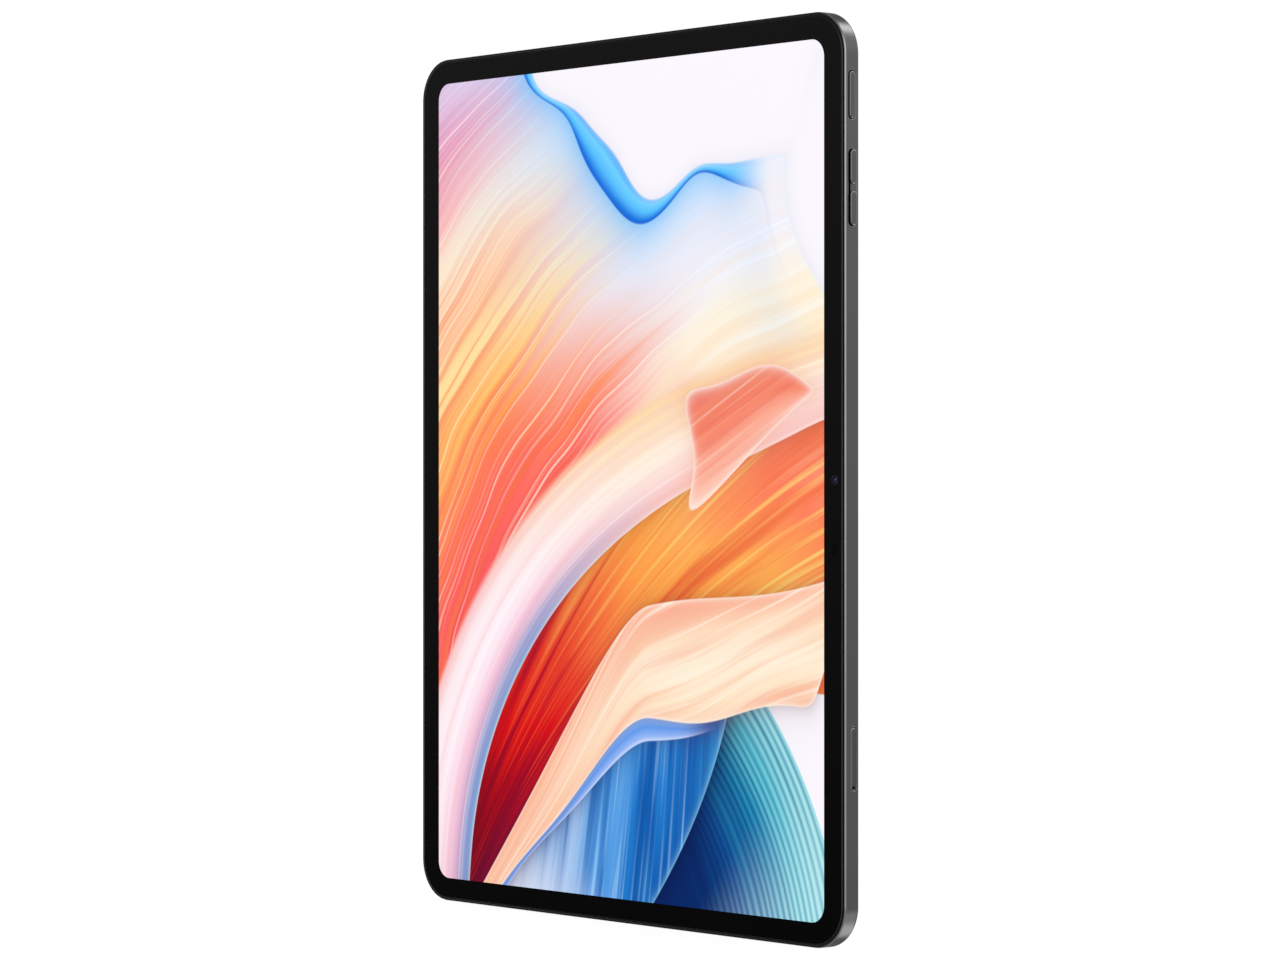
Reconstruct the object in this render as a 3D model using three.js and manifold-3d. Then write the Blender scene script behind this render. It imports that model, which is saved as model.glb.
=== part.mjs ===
// A tablet computer in millimetres, +Z up: the screen faces -Y and the side keys are on +X.
// The origin is the centre of the flat back face. Depths are measured from the glass face
// towards the back, so a depth of THICKNESS is the back face, at Y = 0.
import * as THREE from "three";
import { mergeVertices } from "three/addons/utils/BufferGeometryUtils.js";
import Module from "manifold-3d";

const wasm = await Module();
wasm.setup();

// ---------------------------------------------------------------- driving dimensions

const WIDTH = 188.04;
const HEIGHT = 255.12;
const THICKNESS = 6.89;
const CORNER_RADIUS = 12;
const HALF_W = WIDTH / 2;
const HALF_H = HEIGHT / 2;

// Edges of the metal housing: an elliptical one at the back, a thin chamfer at the front.
const REAR_EDGE = { across: 4.5, deep: 2.4 };
const FRONT_CHAMFER = { across: 0.22, deep: 0.5 };
const RIM_DEPTH = 0.25; // the metal rim lies this far below the glass face
const RIM_INSET = 0.3; // from the sides to the inner edge of the rim
const LEDGE_DEPTH = 1.45; // the ledge that the display is glued to
const SIDE_WALL = 2.42;
const REAR_WALL = 0.8;
const FLOOR_DEPTH = THICKNESS - REAR_WALL;

const ACTIVE_AREA = { width: 172, height: 241.16 };
const GLASS_INSET = 0.92;
const GLASS_THICKNESS = 0.7;
const DISPLAY_BACK = 2.9; // depth of the back of the backlight
const FIT = 0.05; // gap between pieces that rest on or inside each other

// Pieces in the long side at +X: z and depth of the middle, and the size of the visible face.
const POWER_KEY = { z: 104.6, depth: 2.93, length: 12.7, width: 2.1, gap: 0.12, proud: 0.15 };
const VOLUME_KEY = {
  z: 79.3, depth: 3.1, length: 20.7, width: 2.4, gap: 0.16, proud: 0.6, waist: 1.76, nub: 7,
};
const CARD_TRAY = { z: -75.6, depth: 3.5, length: 17.3, width: 1.9, gap: 0.07, inner: 69 };
const EJECT = {
  z: -83.4, hole: 0.45, rod: 0.7, front: 3.25,
  leverX: 65.2, leverZ: -77.5, leverWidth: 2.4, leverLength: 13.4, pin: 0.5,
};

const FRONT_CAMERA = { x: 90.26, z: 0 };
const LIGHT_SENSOR = { x: 90.5, z: -18.8, width: 2, height: 3 };
const REAR_CAMERA = { x: 78, z: 0, ring: 7.9, window: 6.1, proud: 1.3 };

const USB = { depth: 3.3, width: 8.94, height: 3.16, wall: 0.3, mouth: 0.15, length: 6.3 };
const SPEAKER = {
  x: 58, length: 48, height: 19.5, slots: 7, pitch: 4.6, slotLength: 3.4, slotWidth: 1.3,
};
const SLOT_DEPTH = 3;
const MICROPHONE = { topX: 22, bottomX: 14, hole: 0.5 };
const ANTENNA = { z: 117, length: 124, width: 1.4 };

// Inner boards and the screws that hold them.
const MAIN_BOARD = { front: 4.6, back: 5.3 };
const USB_BOARD = { front: 4.2, back: 4.9 };
const BATTERY = { left: -88, right: 30, gap: 1, top: 98, front: 3.1, back: 5.8 };
const SCREW = { shaft: 0.6, head: 1.3, headHeight: 0.45, hole: 0.8, boss: 1.8, tip: 5.95 };
const MAIN_BOARD_SCREWS = [[42, -60], [42, 50], [84, 46], [60, 90]];
const USB_BOARD_SCREWS = [[-24, -110], [24, -110]];

// ---------------------------------------------------------------- materials

function material(color, roughness, metalness) {
  return new THREE.MeshStandardMaterial({ color, roughness, metalness });
}

const materials = {
  housingMetal: material(0x4c4b4e, 0.42, 0.9),
  keyMetal: material(0x525154, 0.38, 0.9),
  blackPlastic: material(0x101012, 0.55, 0),
  coverGlass: material(0x08080a, 0.06, 0),
  panel: material(0x1a1b22, 0.2, 0),
  backlight: material(0xe4e6e8, 0.5, 0),
  adhesive: material(0x18181a, 0.8, 0),
  flex: material(0xb5702a, 0.5, 0),
  graphite: material(0x3a3a3d, 0.6, 0.2),
  steel: material(0xa9abae, 0.35, 1),
  rubber: material(0x1c1c1e, 0.9, 0),
  circuitBoard: material(0x0f3b2a, 0.5, 0),
  batteryFoil: material(0x3c3d40, 0.45, 0.4),
  lensGlass: material(0x101827, 0.05, 0),
  antennaPlastic: material(0x3f3e41, 0.5, 0),
};

// ---------------------------------------------------------------- shapes and solids

const y = (depth) => depth - THICKNESS;

function roundedRectangle(halfW, halfH, radius) {
  const shape = new THREE.Shape();
  shape.absarc(halfW - radius, halfH - radius, radius, 0, Math.PI / 2);
  shape.absarc(radius - halfW, halfH - radius, radius, Math.PI / 2, Math.PI);
  shape.absarc(radius - halfW, radius - halfH, radius, Math.PI, 1.5 * Math.PI);
  shape.absarc(halfW - radius, radius - halfH, radius, 1.5 * Math.PI, 2 * Math.PI);
  shape.closePath();
  return shape;
}

// A straight outline given by its corner points.
function polygon(points) {
  return new THREE.Shape(points.map(([a, b]) => new THREE.Vector2(a, b)));
}

// The outline of the tablet, moved inwards.
function bodyOutline(inset) {
  return roundedRectangle(HALF_W - inset, HALF_H - inset, CORNER_RADIUS - inset);
}

function extrude(shape, length, options = {}) {
  const settings = { depth: length, bevelEnabled: false, curveSegments: 4, ...options };
  return new THREE.ExtrudeGeometry(shape, settings);
}

// A plate parallel to the screen: the shape's x is X and its y is Z.
function plate(shape, front, back, options) {
  return extrude(shape, back - front, options).rotateX(Math.PI / 2).translate(0, y(back), 0);
}

// A bar that runs along X: the shape's x is Y and its y is Z.
function sideBar(shape, x0, x1, curveSegments = 3) {
  const turn = new THREE.Matrix4().set(0, 0, 1, 0, 1, 0, 0, 0, 0, 1, 0, 0, 0, 0, 0, 1);
  return extrude(shape, x1 - x0, { curveSegments }).applyMatrix4(turn).translate(x0, 0, 0);
}

// A bar that runs along Z: the shape's x is X and its y is Y.
function endBar(shape, z0, z1, curveSegments = 3) {
  return extrude(shape, z1 - z0, { curveSegments }).translate(0, 0, z0);
}

function block(x0, x1, front, back, z0, z1) {
  return new THREE.BoxGeometry(x1 - x0, back - front, z1 - z0)
    .translate((x0 + x1) / 2, (y(front) + y(back)) / 2, (z0 + z1) / 2);
}

// A cylinder square to the screen.
function disc(x, z, radius, front, back, segments = 20) {
  return new THREE.CylinderGeometry(radius, radius, back - front, segments)
    .translate(x, (y(front) + y(back)) / 2, z);
}

// A pill-shaped bar along X through the +X side, larger than a key or tray face by grow.
function pill(face, grow, x0, x1) {
  const half = face.width / 2 + grow;
  const shape = roundedRectangle(half, face.length / 2 + grow, half * 0.999);
  return sideBar(shape, x0, x1).translate(0, y(face.depth), face.z);
}

function solid(geometry) {
  const bare = geometry.clone();
  bare.deleteAttribute("normal");
  bare.deleteAttribute("uv");
  const merged = mergeVertices(bare, 1e-4);
  return new wasm.Manifold(
    new wasm.Mesh({
      numProp: 3,
      vertProperties: new Float32Array(merged.attributes.position.array),
      triVerts: new Uint32Array(merged.index.array),
    }),
  );
}

function geometryOf(manifold) {
  const mesh = manifold.getMesh();
  const geometry = new THREE.BufferGeometry();
  geometry.setAttribute("position", new THREE.BufferAttribute(mesh.vertProperties, 3));
  geometry.setIndex(new THREE.BufferAttribute(mesh.triVerts, 1));
  geometry.computeVertexNormals();
  return geometry;
}

function joined(...geometries) {
  return geometries.map(solid).reduce((whole, piece) => whole.add(piece));
}

function cut(base, ...tools) {
  return geometryOf(tools.reduce((left, tool) => left.subtract(solid(tool)), base));
}

const tablet = new THREE.Group();

function part(name, geometry, surface) {
  const mesh = new THREE.Mesh(geometry, surface);
  mesh.name = name;
  tablet.add(mesh);
}

// ---------------------------------------------------------------- housing

// The outer form: the elliptical back edge and the chamfered front edge each come from a bevel.
function housingBody() {
  const beyond = 6; // both bars run past the ends that the other one shapes
  const rear = plate(bodyOutline(0), -beyond, THICKNESS - REAR_EDGE.deep, {
    bevelEnabled: true,
    bevelThickness: REAR_EDGE.deep,
    bevelSize: REAR_EDGE.across,
    bevelOffset: -REAR_EDGE.across,
    bevelSegments: 4,
  });
  const front = plate(bodyOutline(0), RIM_DEPTH + FRONT_CHAMFER.deep, THICKNESS + beyond, {
    bevelEnabled: true,
    bevelThickness: FRONT_CHAMFER.deep,
    bevelSize: FRONT_CHAMFER.across,
    bevelOffset: -FRONT_CHAMFER.across,
    bevelSegments: 1,
  });
  return solid(rear).intersect(solid(front));
}

// The slots of one speaker through a short end wall; end is 1 at the top and -1 at the bottom.
function speakerSlots(side, end) {
  const shape = roundedRectangle(SPEAKER.slotLength / 2, SPEAKER.slotWidth / 2, SPEAKER.slotWidth * 0.499);
  const reach = [HALF_H - SIDE_WALL - 1, HALF_H + 1];
  const [z0, z1] = end > 0 ? reach : [-reach[1], -reach[0]];
  return Array.from({ length: SPEAKER.slots }, (_, i) => {
    const x = side * SPEAKER.x + (i - (SPEAKER.slots - 1) / 2) * SPEAKER.pitch;
    return endBar(shape, z0, z1, 2).translate(x, y(SLOT_DEPTH), 0);
  });
}

// A microphone hole is a short bar along Z.
function microphoneHole(x, end) {
  const shape = roundedRectangle(MICROPHONE.hole, MICROPHONE.hole, MICROPHONE.hole * 0.999);
  const length = SIDE_WALL + 2;
  const z0 = end > 0 ? HALF_H - SIDE_WALL - 1 : -HALF_H - 1;
  return endBar(shape, z0, z0 + length, 2).translate(x, y(SLOT_DEPTH), 0);
}

function usbProfile(grow) {
  const half = USB.height / 2 + grow;
  return roundedRectangle(USB.width / 2 + grow, half, half * 0.999);
}

// The posts that a board rests on, rising from the floor of the housing.
function bosses(places, board) {
  const root = FLOOR_DEPTH + 0.2;
  return places.map(([x, z]) => disc(x, z, SCREW.boss, board.back + FIT, root, 10));
}

function rearHousing() {
  const posts = [...bosses(MAIN_BOARD_SCREWS, MAIN_BOARD), ...bosses(USB_BOARD_SCREWS, USB_BOARD)];
  const shell = [
    plate(bodyOutline(RIM_INSET), -1, LEDGE_DEPTH),
    plate(bodyOutline(SIDE_WALL), LEDGE_DEPTH - 0.5, FLOOR_DEPTH),
  ].reduce((left, tool) => left.subtract(solid(tool)), housingBody());
  const screwHoles = [...MAIN_BOARD_SCREWS, ...USB_BOARD_SCREWS].map(([x, z]) =>
    disc(x, z, SCREW.hole, 4, SCREW.tip + FIT, 8),
  );
  const wallHoles = [
    pill(POWER_KEY, POWER_KEY.gap, HALF_W - 4, HALF_W + 1),
    pill(VOLUME_KEY, VOLUME_KEY.gap, HALF_W - 4, HALF_W + 1),
    pill(CARD_TRAY, CARD_TRAY.gap, HALF_W - 4, HALF_W + 1),
    endBar(usbProfile(FIT), -HALF_H - 1, SIDE_WALL + 1 - HALF_H).translate(0, y(USB.depth), 0),
    microphoneHole(MICROPHONE.topX, 1),
    microphoneHole(MICROPHONE.bottomX, -1),
    ...[1, -1].flatMap((side) => [1, -1].flatMap((end) => speakerSlots(side, end))),
  ];
  const rearHoles = [
    disc(REAR_CAMERA.x, REAR_CAMERA.z, REAR_CAMERA.ring + 0.1, 5, THICKNESS + 1, 32),
    ...[1, -1].map((end) => antennaBar(end, 0, 5, THICKNESS + 1)),
  ];
  const cameraNotch = block(HALF_W - 4, 93, LEDGE_DEPTH - 0.1, 4.5, -3.3, 3.3);
  const body = posts.reduce((whole, post) => whole.add(solid(post)), shell);
  return cut(body, ...screwHoles, ...wallHoles, ...rearHoles, cameraNotch);
}

// ---------------------------------------------------------------- antenna windows

function antennaBar(end, grow, front, back) {
  const half = ANTENNA.width / 2 + grow;
  const shape = roundedRectangle(ANTENNA.length / 2 + grow, half, half * 0.999);
  return plate(shape, front, back, { curveSegments: 2 }).translate(0, 0, end * ANTENNA.z);
}

// A plastic strip that fills a slot in the back, with a wider foot inside.
function antennaWindow(end) {
  return geometryOf(joined(
    antennaBar(end, -FIT, 5.9, THICKNESS),
    antennaBar(end, 0.9, 5.7, FLOOR_DEPTH - FIT),
  ));
}

// ---------------------------------------------------------------- display stack

function displayFrame() {
  const frameFront = 0.3;
  const flangeBack = 1.3;
  const opening = { halfW: 88.2, halfH: 123.2, radius: 6 };
  return cut(
    solid(plate(bodyOutline(RIM_INSET + 0.06), frameFront, flangeBack)),
    plate(bodyOutline(GLASS_INSET - 0.07), -1, GLASS_THICKNESS + FIT),
    plate(roundedRectangle(opening.halfW, opening.halfH, opening.radius), -1, 2),
    block(87, 92.3, -1, 2, FRONT_CAMERA.z - 2.2, FRONT_CAMERA.z + 2.2),
    block(87, 91.9, -1, 2, LIGHT_SENSOR.z - 1.8, LIGHT_SENSOR.z + 1.8),
  );
}

function coverGlass() {
  const edge = { across: 0.3, deep: 0.25 };
  return plate(bodyOutline(GLASS_INSET), edge.deep, GLASS_THICKNESS - edge.deep, {
    bevelEnabled: true,
    bevelThickness: edge.deep,
    bevelSize: edge.across,
    bevelOffset: -edge.across,
    bevelSegments: 2,
  });
}

function displayAdhesive() {
  return cut(
    solid(plate(bodyOutline(0.62), 1.32, 1.43)),
    plate(bodyOutline(1.9), 1, 2),
  );
}

// The panel's film cable folds round the end of the backlight and runs behind it to the main board.
// The fold starts and ends inside the two flat legs, so that no faces coincide where they join.
function displayFlex() {
  const film = 0.12;
  const foldZ = -121.9;
  const [frontLeg, backLeg] = [0.9, DISPLAY_BACK + 0.04];
  const run = polygon([
    [10, foldZ], [32, foldZ], [32, -103], [46, -103], [46, -88], [40, -88], [40, -96], [10, -96],
  ]);
  return geometryOf(joined(
    block(10, 32, frontLeg, frontLeg + film, foldZ, foldZ + 0.25),
    block(10.02, 31.98, frontLeg + film / 2, backLeg + film / 2, foldZ + 0.02, foldZ + film),
    plate(run, backLeg, backLeg + film),
  ));
}

function addDisplay() {
  const panelEdge = { across: 1.37, along: 1.02 };
  const panel = roundedRectangle(
    ACTIVE_AREA.width / 2 + panelEdge.across, ACTIVE_AREA.height / 2 + panelEdge.along, 5,
  );
  const backlight = roundedRectangle(87.3, 120.85, 4);
  const graphite = plate(roundedRectangle(72, 101, 3), DISPLAY_BACK + 0.04, DISPLAY_BACK + 0.14);
  part("display_frame", displayFrame(), materials.blackPlastic);
  part("cover_glass", coverGlass(), materials.coverGlass);
  part("lcd_panel", plate(panel, 0.74, 1.42), materials.panel);
  part("backlight_unit", plate(backlight, 1.46, DISPLAY_BACK), materials.backlight);
  part("display_adhesive", displayAdhesive(), materials.adhesive);
  part("display_flex", displayFlex(), materials.flex);
  part("graphite_sheet", graphite.translate(-14, 0, 16), materials.graphite);
}

// ---------------------------------------------------------------- side keys

const KEY_SWITCH = { back: 88.85, tip: 89.9, length: 4, width: 2.2, depth: 3.1 };

// A key's face with a shallow bevel round its outer edge.
function keyCap(face, outerX, innerX) {
  const bevel = 0.12;
  return joined(
    pill(face, 0, innerX, outerX - bevel),
    pill(face, -bevel / 2, outerX - 2 * bevel, outerX - bevel / 2),
    pill(face, -bevel, outerX - bevel, outerX),
  );
}

// Ears behind the wall keep the key in, and a nub reaches for the switch.
function powerKey() {
  const ears = block(90.7, 91.5, 2, 4.1, POWER_KEY.z - 7.7, POWER_KEY.z + 7.7);
  const nub = block(90.3, 90.8, 2.6, 3.6, POWER_KEY.z - 1, POWER_KEY.z + 1);
  return geometryOf(keyCap(POWER_KEY, HALF_W + POWER_KEY.proud, 91.4).add(joined(ears, nub)));
}

function volumeRocker() {
  const { z, depth, proud, waist, width, length, nub } = VOLUME_KEY;
  const earEnd = length / 2 + 1.3;
  const ears = block(90.5, 91.2, 2.1, 4.1, z - earEnd, z + earEnd);
  const ridge = block(89, 90.6, 2.3, 3.9, z - 0.4, z + 0.4);
  const nubs = [z - nub, z + nub].map((middle) => block(90.1, 90.6, 2.6, 3.6, middle - 1, middle + 1));
  const notches = [-1, 1].map((side) => {
    const middle = depth + side * width / 2;
    return block(HALF_W - 0.2, HALF_W + 1, middle - 0.5, middle + 0.5, z - waist / 2, z + waist / 2);
  });
  const body = keyCap(VOLUME_KEY, HALF_W + proud, 91.1).add(joined(ears, ridge, ...nubs));
  return cut(body, ...notches);
}

function keySwitch(z) {
  const { back, tip, length, width, depth } = KEY_SWITCH;
  return geometryOf(joined(
    block(back, tip - 0.3, depth - width / 2, depth + width / 2, z - length / 2, z + length / 2),
    block(tip - 0.4, tip, depth - 0.6, depth + 0.6, z - 0.9, z + 0.9),
  ));
}

// The film that carries the three switches, with a tail that reaches the main board.
function keyFlex() {
  return geometryOf(joined(
    block(88.65, 88.8, 2, 4.25, 62, 112),
    block(84, 88.8, 4.1, 4.25, 62, 66),
  ));
}

function addKeys() {
  part("power_key", powerKey(), materials.keyMetal);
  part("volume_rocker", volumeRocker(), materials.keyMetal);
  part("key_bracket", block(88.2, 88.6, 1.9, FLOOR_DEPTH - FIT, 67, 114), materials.steel);
  part("key_flex", keyFlex(), materials.flex);
  part("power_switch", keySwitch(POWER_KEY.z), materials.steel);
  part("volume_up_switch", keySwitch(VOLUME_KEY.z + VOLUME_KEY.nub), materials.steel);
  part("volume_down_switch", keySwitch(VOLUME_KEY.z - VOLUME_KEY.nub), materials.steel);
}

// ---------------------------------------------------------------- card tray and its ejector

const TRAY_BODY = { z0: -82.5, z1: -68.2, front: 3.25, back: 4.12 };
const CARD = { width: 12.4, length: 8.9, thickness: 0.67, ledge: 0.9 };

function pinHole(x0, x1) {
  const shape = roundedRectangle(EJECT.hole, EJECT.hole, EJECT.hole * 0.999);
  return sideBar(shape, x0, x1, 3).translate(0, y(CARD_TRAY.depth), EJECT.z);
}

// Two card pockets, each with a window that leaves a ledge under the card.
function cardPockets() {
  const { z0, z1, front } = TRAY_BODY;
  const first = CARD_TRAY.inner + 1.3;
  const low = (z0 + z1 - CARD.width) / 2;
  const high = low + CARD.width;
  return [first, first + CARD.length + 1.4].flatMap((x) => {
    const end = x + CARD.length;
    return [
      block(x, end, front - 1, front + CARD.thickness, low, high),
      block(x + CARD.ledge, end - CARD.ledge, front, front + 2, low + CARD.ledge, high - CARD.ledge),
    ];
  });
}

function cardTray() {
  const { z0, z1, front, back } = TRAY_BODY;
  const faceInner = HALF_W - 1.6;
  const carrier = block(CARD_TRAY.inner, faceInner + 0.1, front, back, z0, z1);
  const body = keyCap(CARD_TRAY, HALF_W, faceInner).add(solid(carrier));
  return cut(body, ...cardPockets(), pinHole(faceInner - 1, HALF_W + 1));
}

function cardTraySeal() {
  const { z0, z1, front, back } = TRAY_BODY;
  return cut(
    solid(pill(CARD_TRAY, -0.03, 91.65, 92.32)),
    block(91, 93, front - FIT, back + FIT, z0 - FIT, z1 + FIT),
    pinHole(91, 93),
  );
}

// The cage that guides the tray: a base on the main board, two sides and a roof.
function cardSocket() {
  const z0 = -85.6;
  const z1 = -66.9;
  return geometryOf(joined(
    block(62.5, 90.8, 4.2, 4.5, z0, z1),
    block(68, 90.8, 2.98, 4.3, z0, z0 + 0.4),
    block(68, 90.8, 2.98, 4.3, z1 - 0.4, z1),
    block(72, 90.8, 2.98, 3.18, z0, z1),
  ));
}

function ejectRod() {
  const half = EJECT.rod / 2;
  return block(66.7, 91.5, EJECT.front, EJECT.front + EJECT.rod, EJECT.z - half, EJECT.z + half);
}

function ejectLever() {
  const { front, rod, leverX, leverZ, leverWidth, leverLength, pin } = EJECT;
  const bar = roundedRectangle(leverWidth / 2, leverLength / 2, leverWidth * 0.4);
  const lever = plate(bar, front, front + rod, { curveSegments: 3 }).translate(leverX, 0, leverZ - 0.4);
  return cut(solid(lever), disc(leverX, leverZ, pin + 0.1, 2, 5, 16));
}

function addCardTray() {
  part("card_tray", cardTray(), materials.keyMetal);
  part("card_tray_seal", cardTraySeal(), materials.rubber);
  part("card_socket", cardSocket(), materials.steel);
  part("eject_rod", ejectRod(), materials.steel);
  part("eject_lever", ejectLever(), materials.steel);
  part("eject_lever_pin", disc(EJECT.leverX, EJECT.leverZ, EJECT.pin, 2.9, 4.15, 16), materials.steel);
}

// ---------------------------------------------------------------- cameras and sensor

function frontCameraModule() {
  const { x, z } = FRONT_CAMERA;
  return cut(
    joined(block(x - 2.6, x + 2.6, 1.5, 4.2, z - 2.9, z + 2.9), disc(x, z, 1.7, 0.76, 1.6)),
    disc(x, z, 1, 0.5, 1.3, 16),
  );
}

// The ring round the rear camera: a collar that stands proud of the back, held by an inner flange.
function rearCameraRing() {
  const top = THICKNESS + REAR_CAMERA.proud;
  const { ring, window } = REAR_CAMERA;
  const [inner, flangeFront, flangeBack, seat] = [5, 5.55, FLOOR_DEPTH - FIT, top - 0.65];
  const profile = [
    [inner, flangeFront], [ring + 1.3, flangeFront], [ring + 1.3, flangeBack], [ring, flangeBack],
    [ring, top - 0.3], [ring - 0.3, top], [window + 0.1, top], [window + 0.1, seat],
    [inner, seat], [inner, flangeFront],
  ].map(([radius, depth]) => new THREE.Vector2(radius, y(depth)));
  return new THREE.LatheGeometry(profile, 32).translate(REAR_CAMERA.x, 0, REAR_CAMERA.z);
}

function rearCameraModule() {
  const { x, z } = REAR_CAMERA;
  return cut(
    joined(block(x - 4.5, x + 4.5, 3.1, 5, z - 4.5, z + 4.5), disc(x, z, 4.2, 4.9, 6.9)),
    disc(x, z, 3.1, 4.6, 8),
  );
}

function addCameras() {
  const top = THICKNESS + REAR_CAMERA.proud;
  const { x, z, window } = REAR_CAMERA;
  const sensor = LIGHT_SENSOR;
  const [halfW, halfH] = [sensor.width / 2, sensor.height / 2];
  part("front_camera_module", frontCameraModule(), materials.blackPlastic);
  part("front_camera_lens", disc(FRONT_CAMERA.x, FRONT_CAMERA.z, 0.93, 0.8, 1.25, 16), materials.lensGlass);
  part("light_sensor", block(sensor.x - halfW, sensor.x + halfW, 0.8, 2.4, sensor.z - halfH,
    sensor.z + halfH), materials.blackPlastic);
  part("rear_camera_ring", rearCameraRing(), materials.keyMetal);
  part("rear_camera_glass", disc(x, z, window, top - 0.6, top - 0.1, 32), materials.lensGlass);
  part("rear_camera_module", rearCameraModule(), materials.blackPlastic);
  part("rear_camera_lens", disc(x, z, 2.95, 5, 7), materials.lensGlass);
}

// ---------------------------------------------------------------- charging port

function usbShell() {
  const z0 = USB.mouth - HALF_H;
  const z1 = z0 + USB.length;
  return cut(
    solid(endBar(usbProfile(0), z0, z1)),
    endBar(usbProfile(-USB.wall), z0 - 1, z1 - USB.wall),
  ).translate(0, y(USB.depth), 0);
}

function usbTongue() {
  const z0 = USB.mouth - HALF_H;
  const inner = z0 + USB.length - USB.wall - FIT;
  const { depth } = USB;
  return geometryOf(joined(
    block(-3.35, 3.35, depth - 0.35, depth + 0.35, z0 + 0.9, inner),
    block(-3.7, 3.7, depth - 0.95, depth + 0.95, inner - 1, inner),
  ));
}

function boardWithHoles(shape, board, screws, ...tools) {
  const holes = screws.map(([x, z]) => disc(x, z, SCREW.hole, board.front - 1, board.back + 1, 8));
  return cut(solid(plate(shape, board.front, board.back)), ...holes, ...tools);
}

function addPort() {
  const board = polygon([[-30, -119.5], [30, -119.5], [30, -106], [-30, -106]]);
  part("usb_c_shell", usbShell(), materials.steel);
  part("usb_c_tongue", usbTongue(), materials.blackPlastic);
  part("usb_board", boardWithHoles(board, USB_BOARD, USB_BOARD_SCREWS), materials.circuitBoard);
}

// ---------------------------------------------------------------- speakers and microphones

// A speaker box with a shallow recess for its diaphragm.
function speakerBox(side, end) {
  const [halfW, halfH] = [SPEAKER.length / 2, SPEAKER.height / 2];
  const z = end * (HALF_H - SIDE_WALL - 0.55 - halfH);
  const box = plate(roundedRectangle(halfW, halfH, 2), 3.1, 5.5, { curveSegments: 2 });
  const recess = plate(roundedRectangle(halfW - 12, halfH - 4, 3), 3, 3.5, { curveSegments: 2 });
  return cut(solid(box), recess).translate(side * SPEAKER.x, 0, z);
}

function speakerMesh(side, end) {
  const half = (SPEAKER.slots * SPEAKER.pitch) / 2;
  const z0 = HALF_H - SIDE_WALL - 0.3;
  const [low, high] = end > 0 ? [z0, z0 + 0.2] : [-z0 - 0.2, -z0];
  return block(side * SPEAKER.x - half, side * SPEAKER.x + half, 1.9, 4.3, low, high);
}

function microphone(x, end) {
  const far = HALF_H - SIDE_WALL - FIT;
  const near = far - 2.8;
  return block(x - 1.8, x + 1.8, 2.5, 3.5, ...(end > 0 ? [near, far] : [-far, -near]));
}

function addSound() {
  for (const [endName, end] of [["top", 1], ["bottom", -1]]) {
    for (const [sideName, side] of [["left", -1], ["right", 1]]) {
      part(`speaker_${endName}_${sideName}`, speakerBox(side, end), materials.blackPlastic);
      part(`speaker_mesh_${endName}_${sideName}`, speakerMesh(side, end), materials.steel);
    }
  }
  part("microphone_top", microphone(MICROPHONE.topX, 1), materials.steel);
  part("microphone_bottom", microphone(MICROPHONE.bottomX, -1), materials.steel);
}

// ---------------------------------------------------------------- boards, battery and antennas

function mainBoard() {
  const outline = polygon([
    [38, -92], [91, -92], [91, 58], [87.4, 60], [87.4, 96], [52, 96], [52, 60], [38, 60],
  ]);
  return boardWithHoles(outline, MAIN_BOARD, MAIN_BOARD_SCREWS,
    disc(REAR_CAMERA.x, REAR_CAMERA.z, REAR_CAMERA.ring + 0.7, 4, 6));
}

function batteryCell(end) {
  const halfW = (BATTERY.right - BATTERY.left) / 2;
  const halfH = (BATTERY.top - BATTERY.gap) / 2;
  const z = end * (BATTERY.top + BATTERY.gap) / 2;
  return plate(roundedRectangle(halfW, halfH, 2), BATTERY.front, BATTERY.back, { curveSegments: 2 })
    .translate(BATTERY.left + halfW, 0, z);
}

// The film cable between the port's board and the main board.
function mainFlex() {
  const run = polygon([
    [8, -110], [18, -110], [18, -103], [56, -103], [56, -88], [48, -88], [48, -99.5], [8, -99.5],
  ]);
  return plate(run, 4, 4.12);
}

function screw([x, z], boardFront) {
  const headBack = boardFront - FIT;
  return geometryOf(joined(
    disc(x, z, SCREW.head, headBack - SCREW.headHeight, headBack, 8),
    disc(x, z, SCREW.shaft, headBack - 0.1, SCREW.tip, 8),
  ));
}

function addScrews(prefix, places, boardFront) {
  places.forEach((place, i) => part(`${prefix}_${i + 1}`, screw(place, boardFront), materials.steel));
}

function addElectronics() {
  part("main_board", mainBoard(), materials.circuitBoard);
  part("processor_shield", block(44, 80, 3.1, MAIN_BOARD.front - FIT, 14, 42), materials.steel);
  part("power_shield", block(44, 72, 3.2, MAIN_BOARD.front - FIT, -46, -14), materials.steel);
  part("connector_cover", block(44, 60, 3.6, 3.8, -96, -84), materials.steel);
  part("battery_cell_upper", batteryCell(1), materials.batteryFoil);
  part("battery_cell_lower", batteryCell(-1), materials.batteryFoil);
  part("battery_board", block(31, 35, 3.6, 4.8, -18, 18), materials.circuitBoard);
  part("main_flex", mainFlex(), materials.flex);
  for (const [name, end] of [["top", 1], ["bottom", -1]]) {
    const filmZ = end * ANTENNA.z;
    part(`antenna_window_${name}`, antennaWindow(end), materials.antennaPlastic);
    part(`antenna_flex_${name}`, block(-60, 60, 5.55, 5.65, filmZ - 2.5, filmZ + 2.5), materials.flex);
  }
  addScrews("board_screw", MAIN_BOARD_SCREWS, MAIN_BOARD.front);
  addScrews("port_screw", USB_BOARD_SCREWS, USB_BOARD.front);
}

part("rear_housing", rearHousing(), materials.housingMetal);
addDisplay();
addKeys();
addCardTray();
addCameras();
addPort();
addSound();
addElectronics();

export default tablet;
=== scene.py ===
"""Looks of the tablet computer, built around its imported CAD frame.

Row frame, in metres: +Z up, the screen faces -Y, the side keys are on +X, and the origin is the
centre of the flat back face. The dimensions below are in millimetres, and depths are measured from
the glass face towards the back.
"""

import math

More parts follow.
